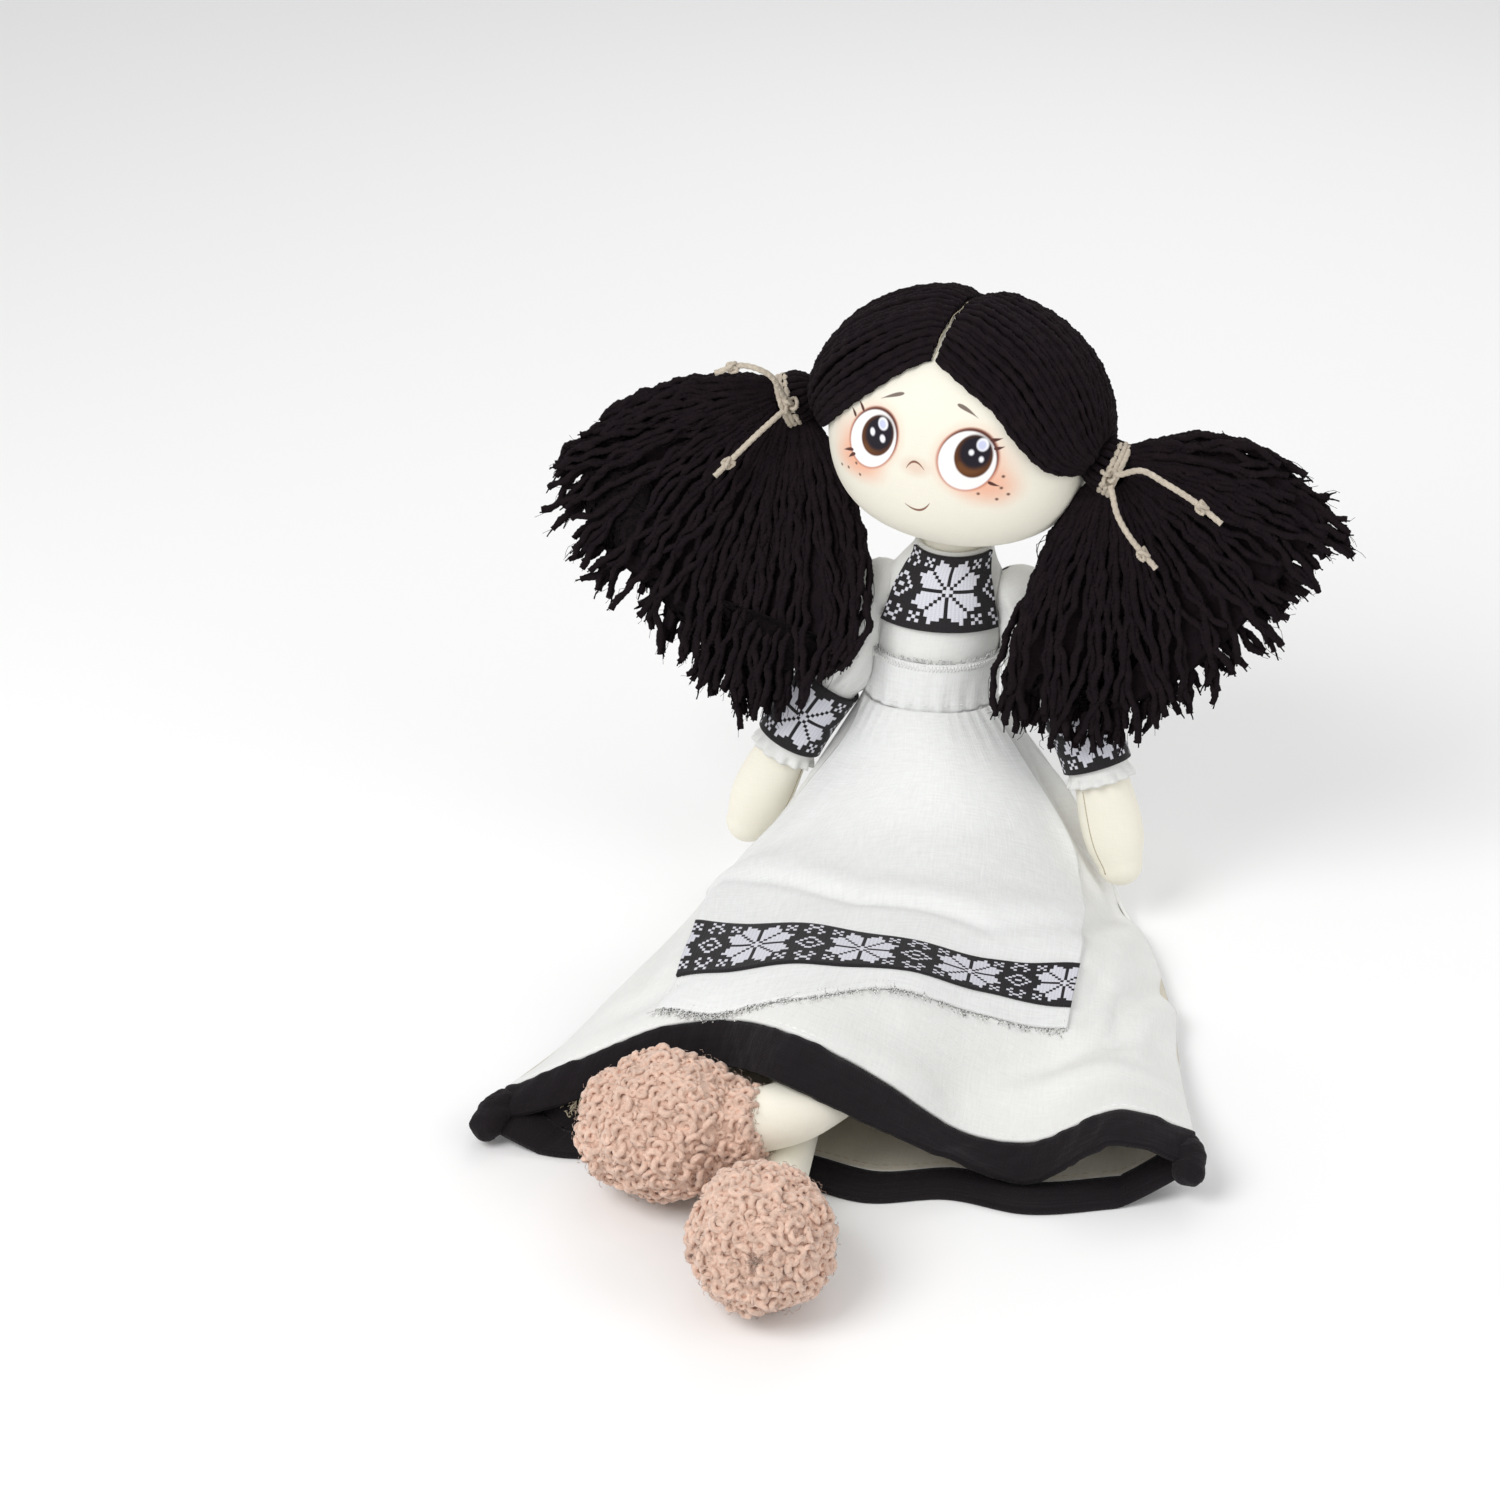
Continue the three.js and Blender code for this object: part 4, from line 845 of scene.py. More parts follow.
def weave_group():
    """Plain weave with slubs: threads cross at right angles, some thicker than others. Its tone follows the
    thread height: darker in the hollows between threads as painted shade, and streaked by the slubs.
    """
    tree, start, end = new_group("Woven threads with painted hollow shade", [
        ("Vector", VECTOR, None), ("Spacing", FLOAT, 0.5), ("Slubs", FLOAT, 0.5)],
        [("Tone", FLOAT), ("Height", FLOAT)])
    x, y, _ = split(tree, start.outputs["Vector"])
    spacing = Amount(tree, start.outputs["Spacing"])
    slub_share = Amount(tree, start.outputs["Slubs"])
    turns_x, turns_y = x / spacing * math.tau, y / spacing * math.tau
    threads = turns_x.math("SINE") * turns_y.math("SINE")
    slubs = None
    for along, over in ((x, y), (y, x)):
        place = node(tree, "ShaderNodeCombineXYZ", {0: along / spacing * 0.09, 1: over / spacing * 0.85})
        noise = node(tree, "ShaderNodeTexNoise", {"Vector": place.outputs[0], "Scale": 1.0, "Detail": 2.0})
        part = Amount(tree, noise.outputs[0])
        slubs = part if slubs is None else slubs + part
    slubs = slubs - 1.0
    height = threads * 0.25 + slubs * slub_share * 2.2
    # Painted shade: the tone is darker where the threads lie low, in the hollows of the weave
    tree.links.new((height * 0.09 + 1.0).socket, end.inputs["Tone"])
    tree.links.new(height.socket, end.inputs["Height"])
    return tree


def mottle_group():
    """Soft uneven tone, as of cloth handled and pressed."""
    tree, start, end = new_group("Uneven tone", [
        ("Vector", VECTOR, None), ("Scale", FLOAT, 20.0), ("Amount", FLOAT, 0.05)], [("Tone", FLOAT)])
    noise = node(tree, "ShaderNodeTexNoise", {
        "Vector": start.outputs["Vector"], "Scale": start.outputs["Scale"], "Detail": 3.0})
    tone = (Amount(tree, noise.outputs[0]) - 0.5) * Amount(tree, start.outputs["Amount"]) * 2 + 1
    tree.links.new(tone.socket, end.inputs["Tone"])
    return tree


def star_group():
    """Eight-pointed star and its side figures, woven in cells. Vector is counted in cells. Thread is the
    relief of the weave, also used as painted shade in the hollows between cells.
    """
    tree, start, end = new_group(
        "Star ribbon with painted weave shade", [("Vector", VECTOR, None)], [("Light", FLOAT), ("Thread", FLOAT)])
    x, y, _ = split(tree, start.outputs["Vector"])
    tile = 29.0
    shifted = (x + tile / 2) / tile
    across = (shifted - shifted.math("FLOOR")) * tile - tile / 2
    i, j = across.math("ROUND").math("ABSOLUTE"), y.math("ROUND").math("ABSOLUTE")
    a, b = i.math("MAXIMUM", j), i.math("MINIMUM", j)
    in_star = a.less(10.6)
    petal = b.more(0.5) * (a - b * 0.68).less(6.85) * (b + a * 0.22).less(6.75)
    vein = (a - b).near(0) * a.more(0.5) * a.less(5.5)
    middle = (a + b).less(1.5)
    petal = petal * vein.flip() + middle
    corner = b.more(6.5) * a.less(9.5)
    check = ((a + b) / 2).math("FRACT").less(0.25)
    star = (petal + corner * check) * in_star
    k = (i - 14.5).math("ABSOLUTE")
    side_column = i.more(10.8)
    ring = (k + j).near(3.5, 0.6) + (k + j).less(0.8)
    chevron = (k + (j - 7.0).math("ABSOLUTE")).near(2.5, 0.6) * j.more(5.5)
    dots = j.near(10) * k.near(1.5, 0.6)
    side_figure = (ring + chevron + dots) * side_column
    edge = j.less(11.6)
    light = ((star + side_figure) * edge).math("MINIMUM", 1.0)
    tree.links.new(light.socket, end.inputs["Light"])
    # Thread relief: drives the bump, and in the finish darkens the colour between cells as painted shade
    fx, fy = (x * math.tau).math("COSINE"), (y * math.tau * 2).math("COSINE")
    thread = fx * 0.25 + fy * 0.25 + 0.5
    tree.links.new(thread.socket, end.inputs["Thread"])
    return tree


def oval_group():
    """Soft-edged oval on a flat plane: 1 inside, 0 outside."""
    tree, start, end = new_group("Painted oval", [
        ("Vector", VECTOR, None), ("Across", FLOAT, 0.0), ("Up", FLOAT, 0.0), ("Half width", FLOAT, 1.0),
        ("Half height", FLOAT, 1.0), ("Lean", FLOAT, 0.0), ("Softness", FLOAT, 0.2)], [("Mask", FLOAT)])
    x, _, z = split(tree, start.outputs["Vector"])
    get = {name: Amount(tree, start.outputs[name]) for name in (
        "Across", "Up", "Half width", "Half height", "Lean", "Softness")}
    dx = x - get["Across"]
    dz = z - get["Up"] - dx * get["Lean"]
    u, w = dx / get["Half width"], dz / get["Half height"]
    reach = (u * u + w * w).math("SQRT")
    room = (reach - 1) * get["Half width"] / get["Softness"]
    mask = (room * -0.5 + 0.5).math("MAXIMUM", 0.0).math("MINIMUM", 1.0)
    smooth = mask * mask * (mask * -2 + 3)
    tree.links.new(smooth.socket, end.inputs["Mask"])
    return tree


def stroke_group():
    """Brush stroke: a curved line that tapers towards its ends."""
    tree, start, end = new_group("Painted stroke", [
        ("Vector", VECTOR, None), ("Across", FLOAT, 0.0), ("Up", FLOAT, 0.0), ("Half length", FLOAT, 3.0),
        ("Turn", FLOAT, 0.0), ("Bend", FLOAT, 0.0), ("Width", FLOAT, 0.5), ("Taper", FLOAT, 0.0),
        ("Softness", FLOAT, 0.25)], [("Mask", FLOAT)])
    x, _, z = split(tree, start.outputs["Vector"])
    get = {name: Amount(tree, start.outputs[name]) for name in (
        "Across", "Up", "Half length", "Turn", "Bend", "Width", "Taper", "Softness")}
    dx, dz = x - get["Across"], z - get["Up"]
    cos, sin = get["Turn"].math("COSINE"), get["Turn"].math("SINE")
    along = (dx * cos + dz * sin) / get["Half length"]
    over = dz * cos - dx * sin - along * along * get["Bend"]
    ends = (along * along * -1 + 1).math("MAXIMUM", 0.0).math("SQRT")
    lean = along * get["Taper"] + 1
    half = get["Width"] * 0.5 * ends * lean
    room = (half - over.math("ABSOLUTE")) / get["Softness"] + 0.5
    mask = room.math("MAXIMUM", 0.0).math("MINIMUM", 1.0) * along.math("ABSOLUTE").less(1.0)
    tree.links.new(mask.socket, end.inputs["Mask"])
    return tree


def closed_tree(tree, start, end, geometry):
    """Ends a geometry tree: its instances are made real and given their finish."""
    real = node(tree, "GeometryNodeRealizeInstances", {0: geometry})
    done = node(tree, "GeometryNodeSetMaterial", {
        "Geometry": real.outputs[0], "Material": start.outputs["Finish"]})
    tree.links.new(done.outputs[0], end.inputs[0])
    return tree


def yarn_tree():
    """Two-ply yarn or thread drawn along every line of a mesh."""
    tree, start, end = new_group("Yarn along paths", [
        ("Geometry", MESH, None), ("Thickness", FLOAT, 0.004), ("Lay", FLOAT, 0.009),
        ("Step", FLOAT, 0.0012), ("Corners", WHOLE, 8), ("Waist", FLOAT, 0.58),
        ("Finish", FINISH, None)], [("Geometry", MESH)], "GeometryNodeTree")
    curve = node(tree, "GeometryNodeMeshToCurve", {0: start.outputs["Geometry"]})
    even = node(tree, "GeometryNodeResampleCurve", {
        "Curve": curve.outputs[0], "Length": start.outputs["Step"]}, mode="LENGTH")
    reach = node(tree, "GeometryNodeSplineParameter")
    phase = node(tree, "GeometryNodeInputNamedAttribute", {"Name": "phase"}, data_type="FLOAT")
    swell = node(tree, "GeometryNodeInputNamedAttribute", {"Name": "swell"}, data_type="FLOAT")
    turned = Amount(tree, reach.outputs["Length"]) / Amount(tree, start.outputs["Lay"]) * math.tau
    tilt = node(tree, "GeometryNodeSetCurveTilt", {
        "Curve": even.outputs[0], "Tilt": turned + Amount(tree, phase.outputs[0])})
    radius = node(tree, "GeometryNodeSetCurveRadius", {"Curve": tilt.outputs[0], "Radius": swell.outputs[0]})
    circle = node(tree, "GeometryNodeCurvePrimitiveCircle", {
        "Resolution": start.outputs["Corners"], "Radius": Amount(tree, start.outputs["Thickness"]) * 0.5})
    place = node(tree, "GeometryNodeInputPosition")
    x, y, _ = split(tree, place.outputs[0])
    share = x / (Amount(tree, start.outputs["Thickness"]) * 0.5)
    waist = Amount(tree, start.outputs["Waist"])
    grow = waist + (waist * -1 + 1) * share * share
    moved = node(tree, "ShaderNodeCombineXYZ", {0: x * grow, 1: y * grow})
    profile = node(tree, "GeometryNodeSetPosition", {
        "Geometry": circle.outputs[0], "Position": moved.outputs[0]})
    body = node(tree, "GeometryNodeCurveToMesh", {
        "Curve": radius.outputs[0], "Profile Curve": profile.outputs[0], "Fill Caps": True})
    if "Scale" in body.inputs:
        own = node(tree, "GeometryNodeInputNamedAttribute", {"Name": "swell"}, data_type="FLOAT")
        tree.links.new(own.outputs[0], body.inputs["Scale"])
    return closed_tree(tree, start, end, body.outputs[0])


def stitch_tree():
    """Evenly spaced stitches laid along every line of a mesh."""
    tree, start, end = new_group("Stitches along paths", [
        ("Geometry", MESH, None), ("Pitch", FLOAT, 0.003), ("Stitch", FLOAT, 0.002),
        ("Thickness", FLOAT, 0.0005), ("Finish", FINISH, None)],
        [("Geometry", MESH)], "GeometryNodeTree")
    curve = node(tree, "GeometryNodeMeshToCurve", {0: start.outputs["Geometry"]})
    places = node(tree, "GeometryNodeCurveToPoints", {"Curve": curve.outputs[0]}, mode="LENGTH")
    tree.links.new(start.outputs["Pitch"], places.inputs["Length"])
    bead = node(tree, "GeometryNodeMeshIcoSphere", {"Radius": 0.5, "Subdivisions": 2})
    thick = Amount(tree, start.outputs["Thickness"])
    size = node(tree, "ShaderNodeCombineXYZ", {0: thick, 1: thick, 2: Amount(tree, start.outputs["Stitch"])})
    stitch = node(tree, "GeometryNodeTransform", {"Geometry": bead.outputs[0], "Scale": size.outputs[0]})
    laid = node(tree, "GeometryNodeInstanceOnPoints", {
        "Points": places.outputs["Points"], "Instance": stitch.outputs[0],
        "Rotation": places.outputs["Rotation"]})
    return closed_tree(tree, start, end, laid.outputs[0])


def curl_tree():
    """Curls of knitted yarn over a surface, every one turned its own way."""
    tree, start, end = new_group("Curls over a surface", [
        ("Geometry", MESH, None), ("Spacing", FLOAT, 0.0024), ("Curl", FLOAT, 0.0022),
        ("Strand", FLOAT, 0.0012), ("Seed", WHOLE, 3), ("Finish", FINISH, None)],
        [("Geometry", MESH)], "GeometryNodeTree")
    spread = node(tree, "GeometryNodeDistributePointsOnFaces", {
        "Mesh": start.outputs["Geometry"], "Density Max": 400000.0}, distribute_method="POISSON")
    tree.links.new(start.outputs["Spacing"], spread.inputs["Distance Min"])
    tree.links.new(start.outputs["Seed"], spread.inputs["Seed"])
    loop = node(tree, "GeometryNodeCurvePrimitiveCircle", {
        "Resolution": 9, "Radius": start.outputs["Curl"]})
    yarn = node(tree, "GeometryNodeCurvePrimitiveCircle", {
        "Resolution": 5, "Radius": Amount(tree, start.outputs["Strand"]) * 0.5})
    ring = node(tree, "GeometryNodeCurveToMesh", {"Curve": loop.outputs[0], "Profile Curve": yarn.outputs[0]})
    turn = node(tree, "FunctionNodeRandomValue", {"Seed": 11}, data_type="FLOAT_VECTOR")
    turn.inputs[0].default_value = (-0.85, -0.85, -3.14)
    turn.inputs[1].default_value = (0.85, 0.85, 3.14)
    tipped = node(tree, "FunctionNodeRotateRotation", {
        "Rotation": spread.outputs["Rotation"], "Rotate By": turn.outputs[0]}, rotation_space="LOCAL")
    scale = node(tree, "FunctionNodeRandomValue", {"Seed": 7}, data_type="FLOAT")
    scale.inputs[2].default_value = 0.6
    scale.inputs[3].default_value = 1.25
    laid = node(tree, "GeometryNodeInstanceOnPoints", {
        "Points": spread.outputs["Points"], "Instance": ring.outputs[0],
        "Rotation": tipped.outputs[0], "Scale": scale.outputs[1]})
    both = node(tree, "GeometryNodeJoinGeometry")
    tree.links.new(laid.outputs[0], both.inputs[0])
    tree.links.new(start.outputs["Geometry"], both.inputs[0])
    return closed_tree(tree, start, end, both.outputs[0])


TREES = {"weave": weave_group, "mottle": mottle_group, "star": star_group, "oval": oval_group,
         "stroke": stroke_group, "yarn": yarn_tree, "stitch": stitch_tree, "curl": curl_tree}
built = {}


def tree_of(name):
    if name not in built:
        built[name] = TREES[name]()
    return built[name]


# Finishes
def coordinates(tree, kind, scale=1 / MM, location=(0, 0, 0), turn=0.0):
    """Object or cloth coordinates in millimetres, centred on a place and turned about Z."""
    source = node(tree, "ShaderNodeTexCoord")
    mapping = node(tree, "ShaderNodeMapping", {
        "Vector": source.outputs[kind], "Location": location, "Rotation": (0, 0, turn),
        "Scale": (1 / scale,) * 3}, vector_type="TEXTURE")
    return mapping.outputs[0]


def group_node(tree, name, values):
    return node(tree, "ShaderNodeGroup", values, node_tree=tree_of(name))


def toned(tree, base, tone):
    """A colour made lighter or darker by a tone about 1."""
    shade = node(tree, "ShaderNodeCombineXYZ", {0: tone, 1: tone, 2: tone})
    made = node(tree, "ShaderNodeVectorMath", {0: base, 1: shade.outputs[0]}, operation="MULTIPLY")
    return made.outputs[0]


def cloud(tree, scale, amount):
    """Soft uneven tone about 1, over the whole piece."""
    made = group_node(tree, "mottle", {
        "Vector": coordinates(tree, "Object", scale=1), "Scale": scale, "Amount": amount})
    return Amount(tree, made.outputs["Tone"])


def blended(tree, first, second, mask):
    made = node(tree, "ShaderNodeMix", data_type="RGBA")
    for socket, value in (("A_Color", first), ("B_Color", second), ("Factor_Float", mask)):
        target = next(s for s in made.inputs if s.identifier == socket)
        if isinstance(value, Amount):
            tree.links.new(value.socket, target)
        elif isinstance(value, bpy.types.NodeSocket):
            tree.links.new(value, target)
        else:
            target.default_value = (*value, 1) if hasattr(value, "__len__") else value
    return next(s for s in made.outputs if s.identifier == "Result_Color")


def finish_of(name, base, roughness, height=None, depth=0.0002, strength=0.6, sheen=0.0, gloss=0.25):
    """A new finish; base(tree) gives its colour socket and height(tree) its relief."""
    material = bpy.data.materials.new(name)
    material.use_nodes = True
    tree = material.node_tree
    surface = tree.nodes["Principled BSDF"]
    surface.inputs["Roughness"].default_value = roughness
    surface.inputs["Specular IOR Level"].default_value = gloss
    surface.inputs["Sheen Weight"].default_value = sheen
    surface.inputs["Sheen Roughness"].default_value = 0.5
    found = base(tree)
    if isinstance(found, bpy.types.NodeSocket):
        tree.links.new(found, surface.inputs["Base Color"])
    else:
        surface.inputs["Base Color"].default_value = (*found, 1)
    if height:
        bump = node(tree, "ShaderNodeBump", {"Strength": strength, "Distance": depth})
        tree.links.new(height(tree), bump.inputs["Height"])
        tree.links.new(bump.outputs[0], surface.inputs["Normal"])
    return material


def linen_finish(name, tint, spacing, slubs=0.5, mottle=0.03, kind="UV", depth=0.00022, gloss=0.25):
    """Woven cloth."""
    def weave(tree):
        return group_node(tree, "weave", {
            "Vector": coordinates(tree, kind), "Spacing": spacing / MM, "Slubs": slubs})

    def base(tree):
        # The weave's tone is partly painted shade in the hollows between threads; the cloud is an uneven tone
        # at random
        tone = Amount(tree, weave(tree).outputs["Tone"]) * cloud(tree, 16.0, mottle)
        return toned(tree, tuple(tint), tone)

    return finish_of(name, base, 0.92, lambda tree: weave(tree).outputs["Height"], depth, 0.5,
                     gloss / 2, gloss)


def cotton_finish(name, tint, depth=0.00008):
    """Fine body cotton, with its pattern on Object coordinates."""
    def grain(tree):
        x, y, z = split(tree, coordinates(tree, "Object"))
        place = node(tree, "ShaderNodeCombineXYZ", {0: x + y, 1: z})
        return group_node(tree, "weave", {"Vector": place.outputs[0], "Spacing": 0.45, "Slubs": 0.25})

    def base(tree):
        # The weave's tone is partly painted shade in the hollows between threads; the cloud is an uneven tone
        # at random
        tone = Amount(tree, grain(tree).outputs["Tone"]) * cloud(tree, 25.0, 0.02)
        return toned(tree, tuple(tint), tone)

    return finish_of(name, base, 0.85, lambda tree: grain(tree).outputs["Height"], depth, 0.4, 0.08)


def yarn_finish(name, tint, fibre=0.0003, scale=900.0, uneven=0.35, sheen=0.15, roughness=0.8, gloss=0.15):
    """Spun yarn: fine fibres in relief and a tone that wanders along the strands."""
    def noise(tree, size, detail):
        found = node(tree, "ShaderNodeTexNoise", {
            "Vector": coordinates(tree, "Object", scale=1), "Scale": size, "Detail": detail})
        return Amount(tree, found.outputs[0])

    def base(tree):
        tone = cloud(tree, 260.0, uneven) * (noise(tree, scale * 1.4, 2.0) * 0.6 + 0.7)
        return toned(tree, tuple(tint), tone)

    return finish_of(name, base, roughness, lambda tree: noise(tree, scale, 4.0).socket, fibre, 0.8,
                     sheen, gloss)


def ribbon_finish(name, start=(0, 0), turn=0.0):
    """Woven star ribbon; start is where a star's middle falls on the flat ribbon, in millimetres."""
    trim = settings("trim")

    def cells(tree):
        place = coordinates(tree, "UV", 1 / trim.cell, (start[0] * MM, start[1] * MM, 0), turn)
        return group_node(tree, "star", {"Vector": place})

    def base(tree):
        pattern = cells(tree)
        light = Amount(tree, pattern.outputs["Light"])
        thread = Amount(tree, pattern.outputs["Thread"])
        colour_of_thread = blended(tree, tuple(trim.dark), tuple(trim.light), light)
        # Painted shade: the colour is darker where the weave's thread relief is low
        tone = thread * 0.22 + 0.86
        return toned(tree, colour_of_thread, tone)

    def height(tree):
        pattern = cells(tree)
        return (Amount(tree, pattern.outputs["Light"]) * 0.7
                + Amount(tree, pattern.outputs["Thread"]) * 0.5).socket

    return finish_of(name, base, 0.85, height, 0.0003, 0.7, 0.1)


# The painted face: colours, then places in millimetres across and up from the middle of the head
PAINTS = {
    "nose glow": (0.70, 0.24, 0.10), "eye rim": (0.55, 0.19, 0.12), "eye line": (0.11, 0.035, 0.025),
    "eye white": (0.955, 0.925, 0.915), "iris light": (0.20, 0.078, 0.026),
    "pupil": (0.0125, 0.0095, 0.0165), "shine": (0.93, 0.94, 0.98), "shine middle": (0.60, 0.64, 0.83),
    "lash": (0.10, 0.035, 0.028), "nose and smile": (0.24, 0.11, 0.07), "freckle": (0.18, 0.09, 0.06),
}
EYES = {
    "left": {
        "white": (-17.3, 3.1, 9.9, 10.4, 0.33), "iris": (-15.4, 4.6, 6.5, 7.1, 0.31),
        "pupil": (-14.5, 6.1, 5.3, 5.8, 0.29),
        "shine": [(-13.3, 9.4, 2.2, 2.4), (-17.3, 5.6, 1.1, 1.5), (-13.1, 4.4, 1.2, 1.5)],
        "lashes": [(-22, 11.4, -24.2, 13.5), (-25.3, 8.4, -27, 10.1), (-26.1, -3.9, -29.9, -5.6),
                   (-25.2, -5.1, -27.7, -7.3)]},
    "right": {
        "white": (16.5, 2.1, 9.5, 10.5, 0.08), "iris": (18.4, 3.5, 6.0, 7.4, 0.06),
        "pupil": (19.1, 5.5, 4.8, 5.5, 0.05),
        "shine": [(21.1, 7.8, 2.1, 2.5), (17.8, 5.0, 0.9, 1.1), (21.0, 2.8, 0.8, 1.1)],
        "lashes": [(23.7, 9.3, 26.4, 9.8), (25, 6.5, 27.2, 7), (23.6, -5.5, 26.3, -6.7)]},
}
# across, up, half length, turn, bend, width, taper
BROWS = [(-11.4, 18.9, 4.6, 0.40, -0.2, 0.95, 0.85), (15.2, 18.3, 4.1, -0.49, -0.3, 1.0, -0.9)]
NOSE = (-0.8, -0.75, 3.3, 0.08, -2.8, 0.85, 0.0)
SMILE = (0.6, -18.6, 4.7, 0.22, 2.6, 0.85, 0.0)
BLUSH = [(-23.0, -8.0, 8.5, 5.0), (-28.5, -2.5, 3.5, 5.0), (22.6, -7.6, 7.5, 5.0), (27.2, -3.0, 2.6, 4.5)]
FRECKLES = [(-24.3, -8.4), (-28.1, -11.6), (-22.7, -12.1), (-31.6, -12.2), (27.7, -3.2), (27.2, -7.4),
            (20.4, -9.6), (25.9, -11.6), (29.2, -9.8)]


def painted_face(tree, cotton):
    """The cotton with the face painted on the front half of the head."""
    place = coordinates(tree, "Object", location=tuple(HEAD_CENTRE * MM), turn=HEAD_TURN)
    face = settings("face")

    def oval(x, z, half_width, half_height, lean=0.0, softness=0.35):
        made = group_node(tree, "oval", {
            "Vector": place, "Across": x, "Up": z, "Half width": half_width,
            "Half height": half_height, "Lean": lean, "Softness": softness})
        return Amount(tree, made.outputs["Mask"])

    def stroke(x, z, half, turn, bend, width, taper=0.0):
        made = group_node(tree, "stroke", {
            "Vector": place, "Across": x, "Up": z, "Half length": half, "Turn": turn, "Bend": bend,
            "Width": width, "Taper": taper, "Softness": 0.3})
        return Amount(tree, made.outputs["Mask"])

    paints = {**PAINTS, "blush": tuple(face.blush), "iris": tuple(face.iris), "line": tuple(face.line)}
    coat = cotton

    def paint(name, mask):
        nonlocal coat
        coat = blended(tree, coat, paints[name], mask)

    for x, z, wide, high in BLUSH:
        paint("blush", oval(x, z, wide, high, 0, 6.5) * 0.60)
    paint("nose glow", oval(-0.4, -2.6, 4.4, 2.8, 0, 3.5) * 0.30)
    for eye in EYES.values():
        x, z, wide, high, lean = eye["white"]
        paint("blush", oval(x, z, wide + 1.6, high + 1.6, lean, 2.6) * 0.28)
        paint("eye rim", oval(x, z, wide + 0.5, high + 0.5, lean, 0.6) * 0.9)
        paint("eye line", oval(x + 0.25, z + 0.5, wide - 0.15, high - 0.1, lean, 0.5))
        paint("eye white", oval(x - 0.12, z - 0.3, wide - 0.35, high - 0.3, lean))
        x, z, wide, high, lean = eye["iris"]
        paint("iris", oval(x, z, wide, high, lean))
        paint("iris light", oval(x - 0.9, z - 3.6, wide * 0.66, high * 0.36, lean, 1.2) * 0.55)
        x, z, wide, high, lean = eye["pupil"]
        paint("pupil", oval(x - 0.1, z - 0.45, wide * 1.06, high * 1.05, lean, 1.1))
        for x, z, wide, high in eye["shine"]:
            paint("shine", oval(x, z, wide * 0.88, high * 0.88, 0, 0.4))
            if wide > 2:
                paint("shine middle", oval(x - 0.15, z - 0.15, wide * 0.62, high * 0.62, 0, 0.5))
        for x1, z1, x2, z2 in eye["lashes"]:
            paint("lash", stroke(
                (x1 + x2) / 2, (z1 + z2) / 2, math.hypot(x2 - x1, z2 - z1) / 2 + 0.5,
                math.atan2(z2 - z1, x2 - x1), 0.15, 1.0, -0.75))
    for line in BROWS:
        paint("line", stroke(*line) * 0.85)
    for line in (NOSE, SMILE):
        paint("nose and smile", stroke(*line))
    for x, z in FRECKLES:
        paint("freckle", oval(x, z, 0.5, 0.5, 0, 0.3))
    return blended(tree, cotton, coat, split(tree, place)[1].less(0.0))


def face_finish():
    material = cotton_finish("Painted head cotton", settings("cloth").skin)
    tree = material.node_tree
    surface = tree.nodes["Principled BSDF"]
    cotton = surface.inputs["Base Color"].links[0].from_socket
    tree.links.new(painted_face(tree, cotton), surface.inputs["Base Color"])
    return material


def knit_finish():
    return yarn_finish("Curly knit", settings("bootie").colour, 0.0006, 750.0, 0.3, 0.4, 0.95)


FINISHES = {
    "skin": lambda: cotton_finish("Body cotton", settings("cloth").skin),
    "face": face_finish,
    "hair": lambda: yarn_finish("Hair yarn", settings("hair").colour, 0.0009, 420.0, 0.6, 0.0, 0.9),
    "twine": lambda: yarn_finish("Linen twine", settings("hair").twine_colour, 0.00025, 1100.0, 0.25, 0.05),
    "dress": lambda: linen_finish("Dress linen", settings("cloth").dress, settings("cloth").thread),
    # The skirt's inside: a beige linen tone, darker than the dress linen partly as painted shade of the
    # skirt's hollow
    "shaded_lining": lambda: linen_finish("Inside of the skirt, partly painted shade", (0.62, 0.58, 0.49), settings("cloth").thread, 0.6),
    "apron": lambda: linen_finish(
        "Apron linen", settings("cloth").apron, settings("cloth").thread * 1.3, 0.75),
    "binding": lambda: linen_finish(
        "Hem binding", settings("trim").binding, 0.0012, 0.9, 0.3, depth=0.0004, gloss=0.1),
    "white thread": lambda: finish_of("White thread", lambda tree: (0.87, 0.87, 0.855), 0.9),
    "seam thread": lambda: finish_of("Seam thread", lambda tree: (0.50, 0.44, 0.32), 0.9),
    "knit": knit_finish,
}
made_finishes = {}


def finish(name):
    if name not in made_finishes:
        made_finishes[name] = FINISHES[name]()
    return made_finishes[name]


# Pieces
SLOTS = {"skin": "doll_cloth", "face": "doll_cloth", "hair": "yarn_hair", "twine": "linen_twine",
         "dress": "dress_linen", "shaded_lining": "dress_linen", "apron": "apron_linen", "binding": "hem_binding",
         "white thread": "dress_linen", "ribbon": "star_ribbon", "knit": "boucle_knit"}


def place_on(piece, body, kind=None, instead=()):
    """Fixes a finished piece to its body; the skirt's pieces are baked into the model's frame instead."""
    if body == "skirt":
        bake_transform(piece)
    else:
        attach(piece, body)
    kind in SLOTS
    if instead:
        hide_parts(*instead)
    return piece


